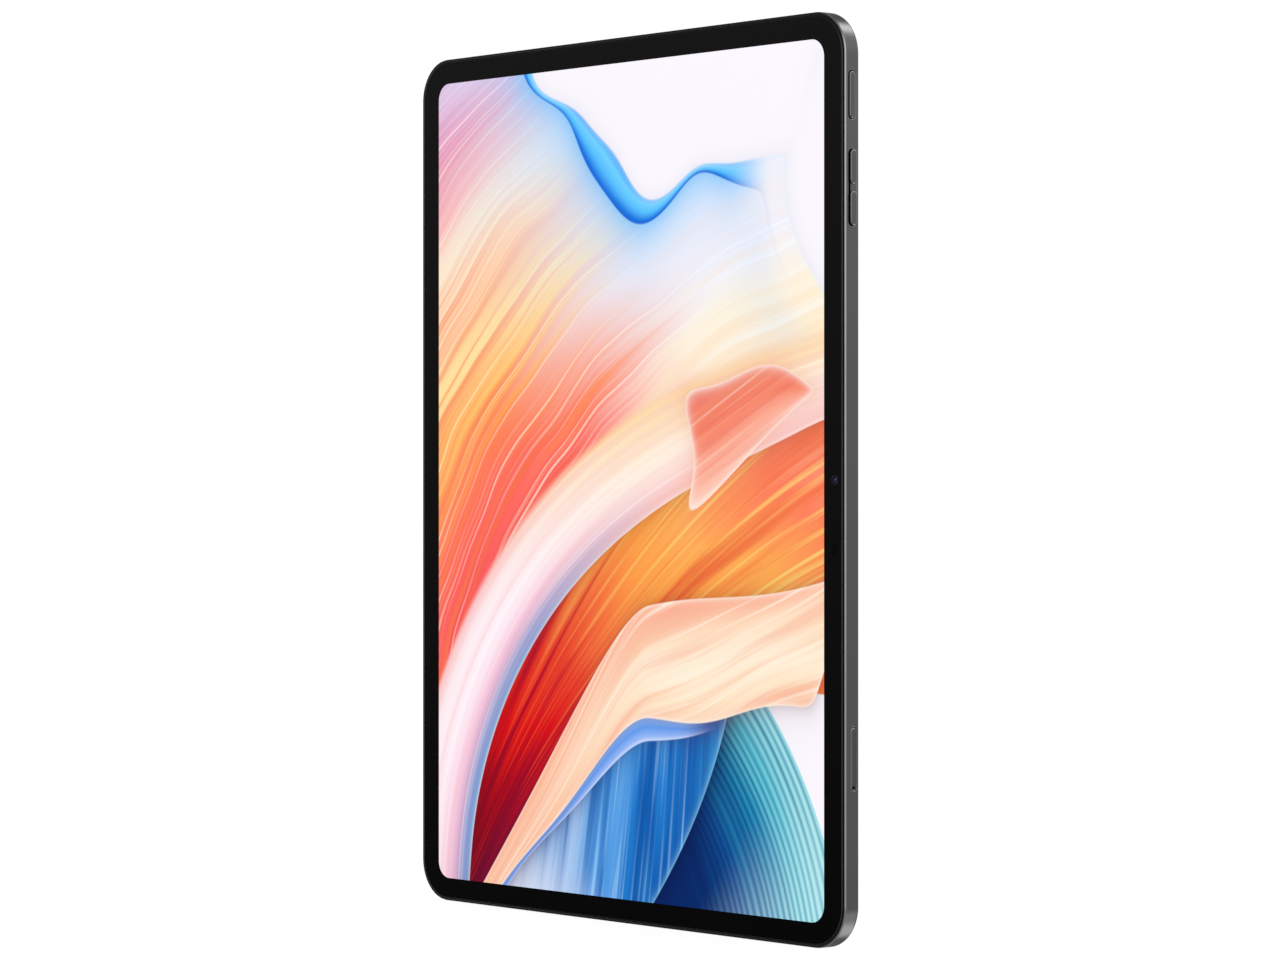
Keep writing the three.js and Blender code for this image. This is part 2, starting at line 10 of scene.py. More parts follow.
import bmesh
import bpy
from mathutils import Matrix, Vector


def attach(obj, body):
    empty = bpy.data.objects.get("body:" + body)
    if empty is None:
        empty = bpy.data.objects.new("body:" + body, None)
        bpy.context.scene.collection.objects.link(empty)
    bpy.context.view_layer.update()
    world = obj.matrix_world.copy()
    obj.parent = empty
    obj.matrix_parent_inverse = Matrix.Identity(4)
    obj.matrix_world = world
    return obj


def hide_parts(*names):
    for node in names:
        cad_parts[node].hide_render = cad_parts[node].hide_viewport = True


MM = 0.001
WHITE = (1, 1, 1)

# ---- driving dimensions, as in the CAD

HALF_W = 94.02
HALF_H = 127.56
THICKNESS = 6.89
CORNER_RADIUS = 12
REAR_EDGE = {"across": 4.5, "deep": 2.25}
FRONT_CHAMFER = {"across": 0.17, "deep": 0.48}
RIM_DEPTH = 0.25
RIM_INSET = 0.3
LEDGE_DEPTH = 1.45
SIDE_WALL = 2.42
FLOOR_DEPTH = 6.09
FRAME_INSET = 0.36
FRAME_FRONT = 0.3
FRAME_BACK = 1.3
FRAME_WIDTH = 0.49
GLASS_INSET = 0.92
GLASS_THICKNESS = 0.7
GLASS_EDGE = {"roll": 0.05, "across": 0.15, "deep": 0.36}
PICTURE = {"half_w": 85.81, "half_h": 120.38, "radius": 5, "x": 0.19, "z": -0.27}
PANEL_BACK = 1.42

# The keys and the tray lie along Z on the +X side. inner is the x where a cap ends inside, and flange
# is the plate behind a cap: its x from and to, its depth from and to, and its half length.
POWER_KEY = {"z": 104.3, "depth": 2.93, "length": 12.8, "width": 2.1, "gap": 0.29, "proud": 0.24,
             "inner": 91.4, "flange": (90.7, 91.5, 2, 4.1, 7.7)}
VOLUME_KEY = {"z": 79.2, "depth": 3.1, "length": 20.5, "width": 2.4, "gap": 0.24, "proud": 0.6,
              "inner": 91.1, "flange": (90.5, 91.2, 2.1, 4.1, 11.65),
              "waist": 1.9, "bridge_inset": 0.2, "bridge_drop": 0.4}
CARD_TRAY = {"z": -75.6, "depth": 3.5, "length": 17.3, "width": 1.9, "gap": 0.1, "proud": 0,
             "inner": 92.42, "end_gap": 0.25}
TRAY_BODY = {"x0": 69, "x1": 92.5, "z0": -82.5, "z1": -68.2, "front": 3.25, "back": 4.12}
CARD = {"width": 12.4, "length": 8.9, "thickness": 0.67, "ledge": 0.9, "pitch": 10.3, "first": 1.3}
PIN_HOLE = {"z": -83.4, "size": (0.9, 0.9)}
KEY_EDGE = {"across": 0.26, "deep": 0.10, "round": 0.03}
MOUTH_RIM = {"across": 0.12, "deep": 0.045}

FRONT_CAMERA = {"x": 90.26, "z": 0, "window": 1.62}
LIGHT_SENSOR = {"x": 90.3, "z": -18.8, "width": 2.5, "height": 3.2}
REAR_CAMERA = {"x": 78, "z": 0, "ring": 7.9, "window": 6.1, "proud": 1.3}

USB = {"depth": 3.3, "size": (8.94, 3.16), "gap": 0.05, "wall": 0.3, "mouth": 0.15, "length": 6.3}
SPEAKER = {"x": 58, "slots": 7, "pitch": 4.6, "slot": (3.4, 1.3)}
END_HOLE_DEPTH = 3
MICROPHONES = ((22, 1), (14, -1))
MICROPHONE_SIZE = (1, 1)
ANTENNA = {"z": 117, "size": (124, 1.4)}

CORNER_STEPS = 24
SMALL_ARC_STEPS = 12
END_HOLE_STEPS = 8
DISC_STEPS = 96
REAR_EDGE_STEPS = 16
SHARP_ANGLE = math.radians(16)

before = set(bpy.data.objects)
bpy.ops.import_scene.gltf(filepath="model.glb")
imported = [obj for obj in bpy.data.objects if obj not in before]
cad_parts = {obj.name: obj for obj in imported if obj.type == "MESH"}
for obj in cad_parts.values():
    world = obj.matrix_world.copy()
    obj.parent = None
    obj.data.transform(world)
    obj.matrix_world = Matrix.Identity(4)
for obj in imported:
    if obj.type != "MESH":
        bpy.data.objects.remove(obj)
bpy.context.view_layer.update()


def y(depth):
    """The row frame's y, in mm, of a depth below the glass face."""
    return depth - THICKNESS


# ---- camera, stage and light

CAMERA_PLACE = (0.8893, -0.75554, 0)
CAMERA_TURN = 49.627
CAMERA_LENS = 113.54

# The studio round the object: a lit side and a smaller lit patch far to the left, given by the way
# they lie, and how bright the dim side and the lit side are low down and high up.
LIT_SIDE = (0.762, 0.648, 0)
FAR_SIDE = (-0.996, -0.087, 0)
DIM_SIDE_LOW_HIGH = (0.02, 0.26)
LIT_SIDE_LOW_HIGH = (0.38, 1.28)
FAR_SIDE_STRENGTH = 1.6
BACKDROP_STRENGTH = 1.02
FLOOR = {"reach": 60, "below": 0.2, "tone": 0.12, "glow": 0.96}
SOFTBOXES = {
    "upper_corner_softbox": {"place": (0.28, 1.04, 1.2), "size": (0.45, 0.6), "radiance": 6.5},
    "lower_corner_softbox": {"place": (0.4, 1, -1.1), "size": (0.9, 0.5), "radiance": 3.2},
    "low_side_softbox": {"place": (0.86, 1, -0.64), "size": (0.5, 0.4), "radiance": 1.8},
}


def new_object(name, data):
    made = bpy.data.objects.new(name, data)
    bpy.context.scene.collection.objects.link(made)
    return made


def add_camera():
    data = bpy.data.cameras.new("camera")
    data.lens = CAMERA_LENS
    data.sensor_width = 36
    camera = new_object("camera", data)
    camera.location = CAMERA_PLACE
    camera.rotation_euler = (math.radians(90), 0, math.radians(CAMERA_TURN))
    bpy.context.scene.camera = camera


def add_lights():
    """Rectangular lamps, each as bright in a mirror as its radiance, that face the object."""
    for name, box in SOFTBOXES.items():
        data = bpy.data.lights.new(name, "AREA")
        data.shape = "RECTANGLE"
        data.size, data.size_y = box["size"]
        data.energy = box["radiance"] * math.pi * data.size * data.size_y
        lamp = new_object(name, data)
        lamp.location = box["place"]
        lamp.rotation_euler = (-Vector(box["place"])).to_track_quat("-Z", "Y").to_euler()
        lamp.visible_camera = False


def add_world():
    """White behind the object. For everything else, a studio that is light behind it and to its right,
    and dark in front of its screen, where it gets a little lighter upwards."""
    world = bpy.data.worlds.new("studio")
    bpy.context.scene.world = world
    world.use_nodes = True
    world.node_tree.nodes.clear()
    graph = Graph(world.node_tree)
    way = graph.node("TexCoord", "Generated", {})
    lit_side, far_side = (graph.node("VectorMath", "Value", {0: way, 1: side}, operation="DOT_PRODUCT")
                          for side in (LIT_SIDE, FAR_SIDE))
    height = graph.split(way)[2]
    dim = height.line(-0.15, 0.35, *DIM_SIDE_LOW_HIGH) + height.smooth(-0.22, -0.42, 0, 0.28)
    light = height.line(-0.22, 0.18, *LIT_SIDE_LOW_HIGH)
    share = lit_side.smooth(0.35, 0.85) * height.size().smooth(0.95, 0.6)
    strength = dim + (light - dim) * share + far_side.smooth(0.87, 0.98, 0, FAR_SIDE_STRENGTH)
    lit, seen = (graph.node("Background", 0, {"Color": WHITE, "Strength": level})
                 for level in (strength, BACKDROP_STRENGTH))
    straight = graph.node("LightPath", "Is Camera Ray", {})
    mix = graph.node("MixShader", 0, {0: straight, 1: lit, 2: seen})
    out = graph.nodes.new("ShaderNodeOutputWorld")
    graph.links.new(mix.socket, out.inputs["Surface"])


def add_floor():
    """A pale floor, bright enough that it meets the white backdrop without a line."""
    mesh = bpy.data.meshes.new("floor")
    reach = FLOOR["reach"]
    low = -(HALF_H + FLOOR["below"]) * MM
    corners = [(-reach, -reach, low), (reach, -reach, low), (reach, reach, low), (-reach, reach, low)]
    mesh.from_pydata(corners, [], [(0, 1, 2, 3)])
    floor = new_object("floor", mesh)
    mesh.materials.append(Surface("pale_floor").set(
        Base_Color=(FLOOR["tone"],) * 3, Roughness=1, Specular_IOR_Level=0,
        Emission_Color=WHITE, Emission_Strength=FLOOR["glow"]))
    floor.visible_glossy = False
    floor.visible_diffuse = False
    floor.visible_shadow = False


# ---- mesh building

def rounded_rectangle(half_a, half_b, radius, steps=CORNER_STEPS):
    """The outline's points (a, b), anticlockwise."""
    points = []
    for side_a, side_b, start in ((1, 1, 0), (-1, 1, 90), (-1, -1, 180), (1, -1, 270)):
        for i in range(steps + 1):
            turn = math.radians(start + 90 * i / steps)
            points.append((side_a * (half_a - radius) + radius * math.cos(turn),
                           side_b * (half_b - radius) + radius * math.sin(turn)))
    return points


def pill(size, grow=0, steps=SMALL_ARC_STEPS):
    """A rectangle with round short sides, larger all round by grow."""
    half_a, half_b = size[0] / 2 + grow, size[1] / 2 + grow
    return rounded_rectangle(half_a, half_b, min(half_a, half_b) * 0.999, steps)


def body_ring(inset, depth):
    return plate_ring(HALF_W - inset, HALF_H - inset, CORNER_RADIUS - inset, depth)


def plate_ring(half_w, half_h, radius, depth, x=0, z=0, steps=CORNER_STEPS):
    return [(a + x, y(depth), b + z) for a, b in rounded_rectangle(half_w, half_h, radius, steps)]


def side_ring(outline, x, depth, z):
    """An outline of (depth, z) points in a plane square to X."""
    return [(x, y(depth) + a, z + b) for a, b in outline]


def end_ring(outline, z, x, depth):
    """An outline of (x, depth) points in a plane square to Z."""
    return [(x + a, y(depth) + b, z) for a, b in outline]


def disc_ring(radius, depth, x, z, steps=DISC_STEPS):
    turns = [math.tau * i / steps for i in range(steps)]
    return [(x + radius * math.cos(turn), y(depth), z + radius * math.sin(turn)) for turn in turns]


class Shape:
    """Collects lofted bodies in millimetres and turns them into one object."""

    def __init__(self):
        self.mesh = bmesh.new()

    def loft(self, rings, stripes=None, caps=(0, 0), closed=False):
        """Joins rings of equal length. stripes gives each strip's material number.
        A closed loft joins its last ring to its first; an open one gets a cap at each end."""
        count = len(rings[0])
        grid = [[self.mesh.verts.new(Vector(p) * MM) for p in ring] for ring in rings]
        strips = len(rings) if closed else len(rings) - 1
        faces = []
        for r in range(strips):
            low, high = grid[r], grid[(r + 1) % len(rings)]
            for i in range(count):
                k = (i + 1) % count
                face = self.mesh.faces.new((low[i], low[k], high[k], high[i]))
                face.material_index = stripes[r] if stripes else 0
                faces.append(face)
        if not closed:
            for ring, number in zip((grid[0], grid[-1]), caps):
                face = self.mesh.faces.new(ring)
                face.material_index = number
                faces.append(face)
        bmesh.ops.recalc_face_normals(self.mesh, faces=faces)
        return self

    def discs(self, profile, place, stripes=None, caps=(0, 0), closed=False):
        """Turns (radius, depth) points about a line along Y through the place's x and z.
        A point on the line gets a tiny ring."""
        rings = [disc_ring(max(radius, 0.0005), depth, place["x"], place["z"]) for radius, depth in profile]
        return self.loft(rings, stripes, caps, closed)

    def block(self, x0, x1, front, back, z0, z1, number=0):
        ring = [(x0, z0), (x1, z0), (x1, z1), (x0, z1)]
        return self.loft([[(a, y(d), b) for a, b in ring] for d in (front, back)], [number], (number, number))

    def object(self, name, *materials):
        mesh = bpy.data.meshes.new(name)
        self.mesh.to_mesh(mesh)
        self.mesh.free()
        for material in materials:
            mesh.materials.append(material)
        return new_object(name, mesh)


def carve(piece, cutters):
    """Cuts another object out of a piece and removes the other object."""
    change = piece.modifiers.new("cut", "BOOLEAN")
    change.object = cutters
    change.operation = "DIFFERENCE"
    change.solver = "EXACT"
    change.material_mode = "TRANSFER"
    bpy.context.view_layer.update()
    done = bpy.data.meshes.new_from_object(piece.evaluated_get(bpy.context.evaluated_depsgraph_get()))
    piece.modifiers.clear()
    old = piece.data
    piece.data = done
    done.name = piece.name
    bpy.data.meshes.remove(old)
    bpy.data.objects.remove(cutters)


def finish_piece(piece, slot, *nodes, body="tablet_body"):
    """Shading, body and the CAD nodes that the piece stands for; slot is not used."""
    mesh = piece.data
    mesh.shade_smooth()
    mesh.set_sharp_from_angle(angle=SHARP_ANGLE)
    weighted = piece.modifiers.new("normals", "WEIGHTED_NORMAL")
    weighted.keep_sharp = True
    weighted.weight = 100
    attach(piece, body)
    if nodes:
        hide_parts(*nodes)


# ---- shader graphs

def srgb(red, green, blue):
    """Linear colour of screen values from 0 to 255."""
    return tuple(((v / 255 + 0.055) / 1.055) ** 2.4 if v > 10 else v / 3294.6 for v in (red, green, blue))


class Value:
    """A node's output that can be used in Python arithmetic."""

    def __init__(self, graph, socket):
        self.graph = graph
        self.socket = socket

    def math(self, operation, *others):
        return self.graph.math(operation, self, *others)

    def __add__(self, other):
        return self.math("ADD", other)

    def __sub__(self, other):
        return self.math("SUBTRACT", other)

    def __rsub__(self, other):
        return self.graph.math("SUBTRACT", other, self)

    def __mul__(self, other):
        return self.math("MULTIPLY", other)

    def __truediv__(self, other):
        return self.math("DIVIDE", other)

    def sine(self):
        return self.math("SINE")

    def size(self):
        """The value without its sign."""
        return self.math("ABSOLUTE")

    def at_least(self, other):
        return self.math("MAXIMUM", other)

    def at_most(self, other):
        return self.math("MINIMUM", other)

    def blunt_least(self, other, blend):
        """The lesser of two values, rounded off where they are within blend of each other."""
        return self.math("SMOOTH_MIN", other, blend)

    def line(self, low, high, at_low=0, at_high=1, kind="LINEAR"):
        """Goes straight from at_low to at_high while the value goes from low to high."""
        return self.graph.node("MapRange", 0, {0: self, 1: low, 2: high, 3: at_low, 4: at_high},
                               interpolation_type=kind)

    def smooth(self, low, high, at_low=0, at_high=1):
        """The same as line, in an S curve."""
        return self.line(low, high, at_low, at_high, "SMOOTHSTEP")

    def ramp(self, *stops):
        """Colours at given values, blended between them."""
        node = self.graph.nodes.new("ShaderNodeValToRGB")
        elements = node.color_ramp.elements
        elements[0].position, elements[1].position = 0, 1
        for spot, colour in stops[1:-1]:
            elements.new(spot).color = (*colour, 1)
        for i in (0, -1):
            elements[i].position, elements[i].color = stops[i][0], (*stops[i][1], 1)
        self.graph.feed(node.inputs[0], self)
        return Value(self.graph, node.outputs[0])


class Graph:
    """A node tree whose nodes are written as formulas."""

    def __init__(self, tree):
        self.nodes = tree.nodes
        self.links = tree.links

    def feed(self, socket, value):
        if isinstance(value, Value):
            self.links.new(value.socket, socket)
        elif isinstance(value, tuple):
            socket.default_value = (*value, 1) if len(socket.default_value) == 4 else value
        else:
            socket.default_value = value

    def node(self, kind, output, inputs, **settings):
        node = self.nodes.new("ShaderNode" + kind)
        for key, value in settings.items():
            setattr(node, key, value)
        for key, value in inputs.items():
            self.feed(node.inputs[key], value)
        return Value(self, node.outputs[output])

    def math(self, operation, *values):
        return self.node("Math", 0, dict(enumerate(values)), operation=operation)

    def split(self, vector):
        node = self.nodes.new("ShaderNodeSeparateXYZ")
        self.links.new(vector.socket, node.inputs[0])
        return [Value(self, socket) for socket in node.outputs]

    def place(self):
        """The piece's own x, y and z in metres."""
        return self.split(self.node("TexCoord", "Object", {}))

    def vector(self, a, b, c):
        return self.node("CombineXYZ", 0, {0: a, 1: b, 2: c})

    def noise(self, a, b, c, detail=2, roughness=0.5):
        """Smooth noise of three coordinates, about one bump per unit, from 0 to 1."""
        return self.node("TexNoise", 0, {"Vector": self.vector(a, b, c), "Scale": 1, "Detail": detail,
                                         "Roughness": roughness})

    def grain(self, size, detail=2, roughness=0.5):
        """Noise over the piece, its bumps of a size in mm: the same all ways or along x, y and z."""
        sizes = size if isinstance(size, tuple) else (size,) * 3
        spot = [along / (step * MM) for along, step in zip(self.place(), sizes)]
        return self.noise(*spot, detail, roughness)

    def mix(self, first, second, share):
        node = self.nodes.new("ShaderNodeMix")
        node.data_type = "RGBA"
        self.feed(node.inputs[0], share)
        self.feed(node.inputs[6], first)
        self.feed(node.inputs[7], second)
        return Value(self, node.outputs[2])


class Surface(Graph):
    """A Principled material."""

    def __init__(self, name):
        self.material = bpy.data.materials.new(name)
        self.material.use_nodes = True
        super().__init__(self.material.node_tree)
        self.shader = self.nodes["Principled BSDF"]

    def bump(self, height, distance):
        """height from 0 to 1, distance in metres."""
        node = self.nodes.new("ShaderNodeBump")
        node.inputs["Distance"].default_value = distance
        self.links.new(height.socket, node.inputs["Height"])
        self.links.new(node.outputs["Normal"], self.shader.inputs["Normal"])

    def set(self, **values):
        for key, value in values.items():
            self.feed(self.shader.inputs[key.replace("_", " ")], value)
        return self.material


def grained(name, dark, light, roughness, metallic, grain, bump=0, **more):
    """A surface whose tone, gloss and relief vary with a fine grain. grain and bump are the grain's
    size and height in mm."""
    graph = Surface(name)
    fine = graph.grain(grain, 3, 0.6)
    broad = graph.grain((31, 31, 27))
    tone = (fine * 0.7 + broad * 0.3).smooth(0.3, 0.7)
    if bump:
        graph.bump(fine, bump * MM)
    return graph.set(
        Base_Color=graph.mix(dark, light, tone),
        Roughness=(fine * 0.6 + broad * 0.4).line(0.3, 0.7, *roughness),
        Metallic=metallic,
        **more,
    )


# ---- materials

def anodised(name, tone, roughness):
    """Bead-blasted and dyed aluminium."""
    dark = tuple(0.94 * v for v in tone)
    light = tuple(1.06 * v for v in tone)
    return grained(name, dark, light, roughness, 1, 0.16, 0.0016)


def border_glass():
    """Polished glass over black print, with a trace of handling in its gloss."""
    graph = Surface("printed_border_glass")
    print_tone = graph.grain(0.6)
    wiped = graph.grain((12, 12, 20), 3, 0.6)
    return graph.set(
        Base_Color=graph.mix((0.0016, 0.0016, 0.0018), (0.0028, 0.0028, 0.0031), print_tone),
        Roughness=wiped.line(0.3, 0.7, 0.03, 0.055),
        IOR=1.5,
    )


def sensor_ink():
    """Print that lets light through to the sensor, hardly lighter than the border."""
    graph = Surface("sensor_window_ink")
    dots = graph.grain(0.2, 1)
    return graph.set(Base_Color=graph.mix((0.0001, 0.0001, 0.0001), (0.0008, 0.0005, 0.0007), dots),
                     Roughness=dots.line(0.2, 0.8, 0.16, 0.22), Specular_IOR_Level=0.25)


def lens_coating(name, place, radius, inner, middle, outer, painted_glint):
    """Dark glass whose coating changes colour from the middle of a lens to its edge, partly its own tint
    and partly painted reflection, with two small painted glints in it."""
    graph = Surface(name)
    x, _, z = graph.place()
    across, up = (x - place["x"] * MM) / (radius * MM), (z - place["z"] * MM) / (radius * MM)
    away, _ = polar(across, up, 0, 0)
    film = graph.grain(1.2, 1)
    rim = (0.001, 0.001, 0.001)
    # The ring of coating colours is partly the coating's own tint and partly painted reflection.
    colour = (away + (film - 0.5) * 0.16).ramp((0, inner), (0.45, middle), (0.8, outer), (1, rim))
    # Two painted glints: pale spots mixed into the base colour.
    for spot_across, spot_up, size in ((0.12, 0.34, 0.24), (-0.1, -0.3, 0.17)):
        spot, _ = polar(across, up, spot_across, spot_up)
        colour = graph.mix(colour, painted_glint, spot.smooth(size, size * 0.4))
    return graph.set(Base_Color=colour, Roughness=film.line(0.3, 0.7, 0.02, 0.05), IOR=1.6)


def perforated():
    """Fine woven steel: the wires cross every 0.22 mm."""
    graph = Surface("woven_mesh")
    x, depth, _ = graph.place()
    pitch = 0.22 * MM / math.tau
    weave = ((x / pitch).sine() * (depth / pitch).sine()).size()
    graph.bump(weave, 0.00004)
    colour = graph.mix((0.06, 0.06, 0.063), (0.003, 0.003, 0.003), weave.smooth(0.25, 0.6))
    return graph.set(Base_Color=colour, Roughness=weave.line(0, 1, 0.35, 0.6), Metallic=0.8)


def circuit_board():
    """Green solder mask over copper tracks, with gold pads."""
    graph = Surface("circuit_board")
    x, _, z = graph.place()
    cells = graph.node("TexVoronoi", "Distance", {"Vector": graph.vector(x, 0, z), "Scale": 420},
                       distance="CHEBYCHEV")
    bend = graph.noise(x / 0.006, 0, z / 0.006) * 0.006
    tracks = ((x + bend) * 5200).sine().size().smooth(0.6, 0.7)
    pads = cells.smooth(0.17, 0.2, 1, 0)
    graph.bump(pads.at_least(tracks), 0.00002)
    mask = graph.mix((0.004, 0.03, 0.018), (0.008, 0.062, 0.036), tracks)
    return graph.set(Base_Color=graph.mix(mask, (0.75, 0.52, 0.2), pads),
                     Roughness=cells.line(0, 0.6, 0.3, 0.45), Metallic=pads)


def flex_film():
    """Amber film with copper tracks that run along it."""
    graph = Surface("flex_film")
    x, _, z = graph.place()
    tracks = ((x * 9000).sine() * (z * 700).sine()).smooth(0.1, 0.5)
    haze = graph.grain(4)
    graph.bump(tracks, 0.000015)
    film = graph.mix((0.33, 0.12, 0.02), (0.46, 0.2, 0.045), haze)
    return graph.set(Base_Color=graph.mix(film, (0.6, 0.3, 0.13), tracks),
                     Roughness=haze.line(0.3, 0.7, 0.28, 0.42))


def battery_foil():
    """Dark laminated foil, slightly creased."""
    graph = Surface("battery_foil")
    crease = graph.grain((14, 14, 20), 4, 0.55)
    graph.bump(crease, 0.0004)
    return graph.set(Base_Color=graph.mix((0.035, 0.036, 0.04), (0.075, 0.076, 0.08), crease),
                     Roughness=crease.line(0.3, 0.7, 0.36, 0.5), Metallic=0.6)


# Name, darkest and lightest tone, least and most roughness, metal, size of the grain and height of it.
GRAINED = {
    "camera_rim": ("camera_rim_paint", (0.02, 0.024, 0.034), (0.03, 0.035, 0.048), (0.3, 0.4), 0, 0.1),
    "plastic": ("moulded_black", (0.006, 0.006, 0.007), (0.011, 0.011, 0.012), (0.42, 0.55), 0, 0.25, 0.002),
    "backlight": ("diffuser_film", (0.74, 0.75, 0.76), (0.82, 0.83, 0.84), (0.4, 0.55), 0, 0.5, 0.002),
    "foam": ("foam_tape", (0.006, 0.006, 0.006), (0.014, 0.014, 0.015), (0.8, 0.95), 0, 0.3, 0.02),
    "graphite": ("pressed_graphite", (0.028, 0.028, 0.03), (0.055, 0.055, 0.058), (0.4, 0.6), 0.4,
                 0.8, 0.006),
    "steel": ("stamped_steel", (0.36, 0.37, 0.38), (0.52, 0.53, 0.54), (0.26, 0.42), 1,
              (2, 0.08, 0.08), 0.002),
    "rubber": ("silicone_seal", (0.009, 0.009, 0.009), (0.018, 0.018, 0.019), (0.6, 0.8), 0, 0.2, 0.006),
    "antenna": ("antenna_plastic", (0.011, 0.011, 0.012), (0.016, 0.016, 0.017), (0.42, 0.52), 0,
                0.25, 0.0015),
    "edge": ("bright_cut_edge", (0.36, 0.36, 0.37), (0.46, 0.46, 0.47), (0.16, 0.24), 1,
             (0.03, 0.03, 2.5), 0.0004),
    "gold": ("contact_gold", (0.72, 0.47, 0.16), (0.85, 0.6, 0.24), (0.2, 0.32), 1,
             (0.05, 0.6, 0.05), 0.001),
}
# Tone, and least and most roughness.
ANODISED = {
    "housing": ((0.104, 0.103, 0.106), (0.28, 0.35)),
    "key": ((0.102, 0.101, 0.104), (0.3, 0.38)),
    "tray": ((0.085, 0.084, 0.087), (0.34, 0.42)),
    "key_edge": ((0.26, 0.259, 0.263), (0.24, 0.3)),
    "camera_ring": ((0.09, 0.089, 0.092), (0.22, 0.3)),
}


def make_materials():
    return {
        **{key: anodised("anodised_" + key, *values) for key, values in ANODISED.items()},
        # Inner walls, hole walls, key sides, the pin hole and the tray's carrier: their near-black tone is
        # painted shade for the gaps and recesses.
        "inside": anodised("inside_painted_shade", (0.02, 0.02, 0.021), (0.45, 0.55)),
        "glass": border_glass(),
        "sensor": sensor_ink(),
        "picture": picture(),
        "flex": flex_film(),
        "mesh": perforated(),
        "board": circuit_board(),
        "foil": battery_foil(),
        # The curved glass edge's grey tone is partly its real reflection and partly a painted highlight line.
        "glass_edge": grained("glass_edge_painted_highlight", (0.054, 0.055, 0.057), (0.075, 0.076, 0.078),
                              (0.12, 0.2), 0, 0.2, IOR=1.52),
        **{key: grained(*values) for key, values in GRAINED.items()},
        "front_lens": lens_coating("front_lens_tint_painted_glints", FRONT_CAMERA, 0.8, (0.01, 0.02, 0.08),
                                   (0.02, 0.09, 0.5), (0.01, 0.03, 0.14), (0.3, 0.62, 1)),
        "rear_lens": lens_coating("rear_lens_tint_painted_glints", REAR_CAMERA, 2.2, (0.004, 0.004, 0.012),
                                  (0.03, 0.012, 0.08), (0.004, 0.03, 0.035), (0.07, 0.09, 0.2)),
    }


# ---- the picture on the screen

# Where the wide arcs of the picture have their pole, in its own units, and how soft a sheet's outline is.
ARC_POLE = (1.5, -1.6)
OUTLINE_BLUR = 0.003


def picture():
    """A generic abstract picture of overlapping silk sheets, lit from behind.

    s runs from -1 at the left of the screen to 1 at the right, and t from -1.4 to 1.4 upwards.
    """
    graph = Surface("lit_picture")
    x, _, z = graph.place()
    half = PICTURE["half_w"] * MM
    s, t = x / half, z / half
    colour = backdrop(s, t)
    for sheet in (great_fan, red_fan, pale_ribbon, coral_fold, low_backdrop, right_blue, left_blue,
                  cream_sheet):
        colour = sheet(colour, s, t)
    glow = graph.noise(s * 3, t * 3, 0)
    return graph.set(
        Base_Color=graph.mix((0.0015, 0.0015, 0.0017), (0.0025, 0.0025, 0.0028), glow),
        Roughness=glow.line(0.3, 0.7, 0.03, 0.055),
        IOR=1.5,
        Emission_Color=colour,
        Emission_Strength=1,
    )


def polar(s, t, centre_s, centre_t):
    """Distance from a pole, and the angle round it in radians."""
    across, up = s - centre_s, t - centre_t
    return (across * across + up * up).math("SQRT"), up.math("ARCTAN2", across)


def shades(value, *stops):
    """A ramp whose stops are a value and the red, green and blue of a colour from 0 to 255."""
    return value.ramp(*((spot, srgb(*colour)) for spot, *colour in stops))


def tint(under, colour, share):
    return share.graph.mix(under, colour, share)


def fade(distance, width):
    """1 at and below no distance, falling off over width."""
    return (distance.at_least(0) * (-1 / width)).math("EXPONENT")


def lay(under, edge, colour, rim=WHITE, rim_share=0.5, rim_width=0.012,
        shadow=(0.3, 0.12, 0.2), shadow_share=0.35, shadow_width=0.07):
    """Lays a sheet over what is under it. edge is the distance inside the sheet's outline.
    The sheet gets a thin lit rim, and it shades what lies just outside it."""
    shaded = tint(under, shadow, fade(0 - edge, shadow_width) * shadow_share)
    lit = tint(colour, rim, fade(edge, rim_width) * rim_share)
    return tint(shaded, lit, edge.smooth(-OUTLINE_BLUR, OUTLINE_BLUR))


def folds(across, along, seed, coarse, fine):
    """Drawn cloth: broad folds, narrow folds and threads, each from 0 to 1."""
    noise = across.graph.noise
    broad = noise(across * coarse, along * 0.9, seed, 1)
    narrow = noise(across * fine, along * 0.7, seed + 4, 2, 0.6)
    thread = noise(across * (fine * 3.3), along * 0.9, seed + 8, 1)
    return broad, narrow, thread


def drape(colour, narrow, thread, deep, bright, deep_share, bright_share):
    """Deepens a colour in the narrow folds and draws light threads on their crests."""
    colour = tint(colour, deep, narrow.smooth(0.54, 0.34) * deep_share)
    crest = thread.smooth(0.5, 0.68) * narrow.smooth(0.38, 0.58)
    return tint(colour, bright, crest * bright_share)


def backdrop(s, t):
    return tint(srgb(253, 248, 255), srgb(249, 245, 252), s.graph.noise(s * 1.2, t * 1.2, 3))


def low_backdrop(under, s, t):
    """The light backdrop again, below the cream sheet."""
    return lay(under, cream_bottom(s) + 0.05 - t, backdrop(s, t), shadow_share=0, rim_share=0)


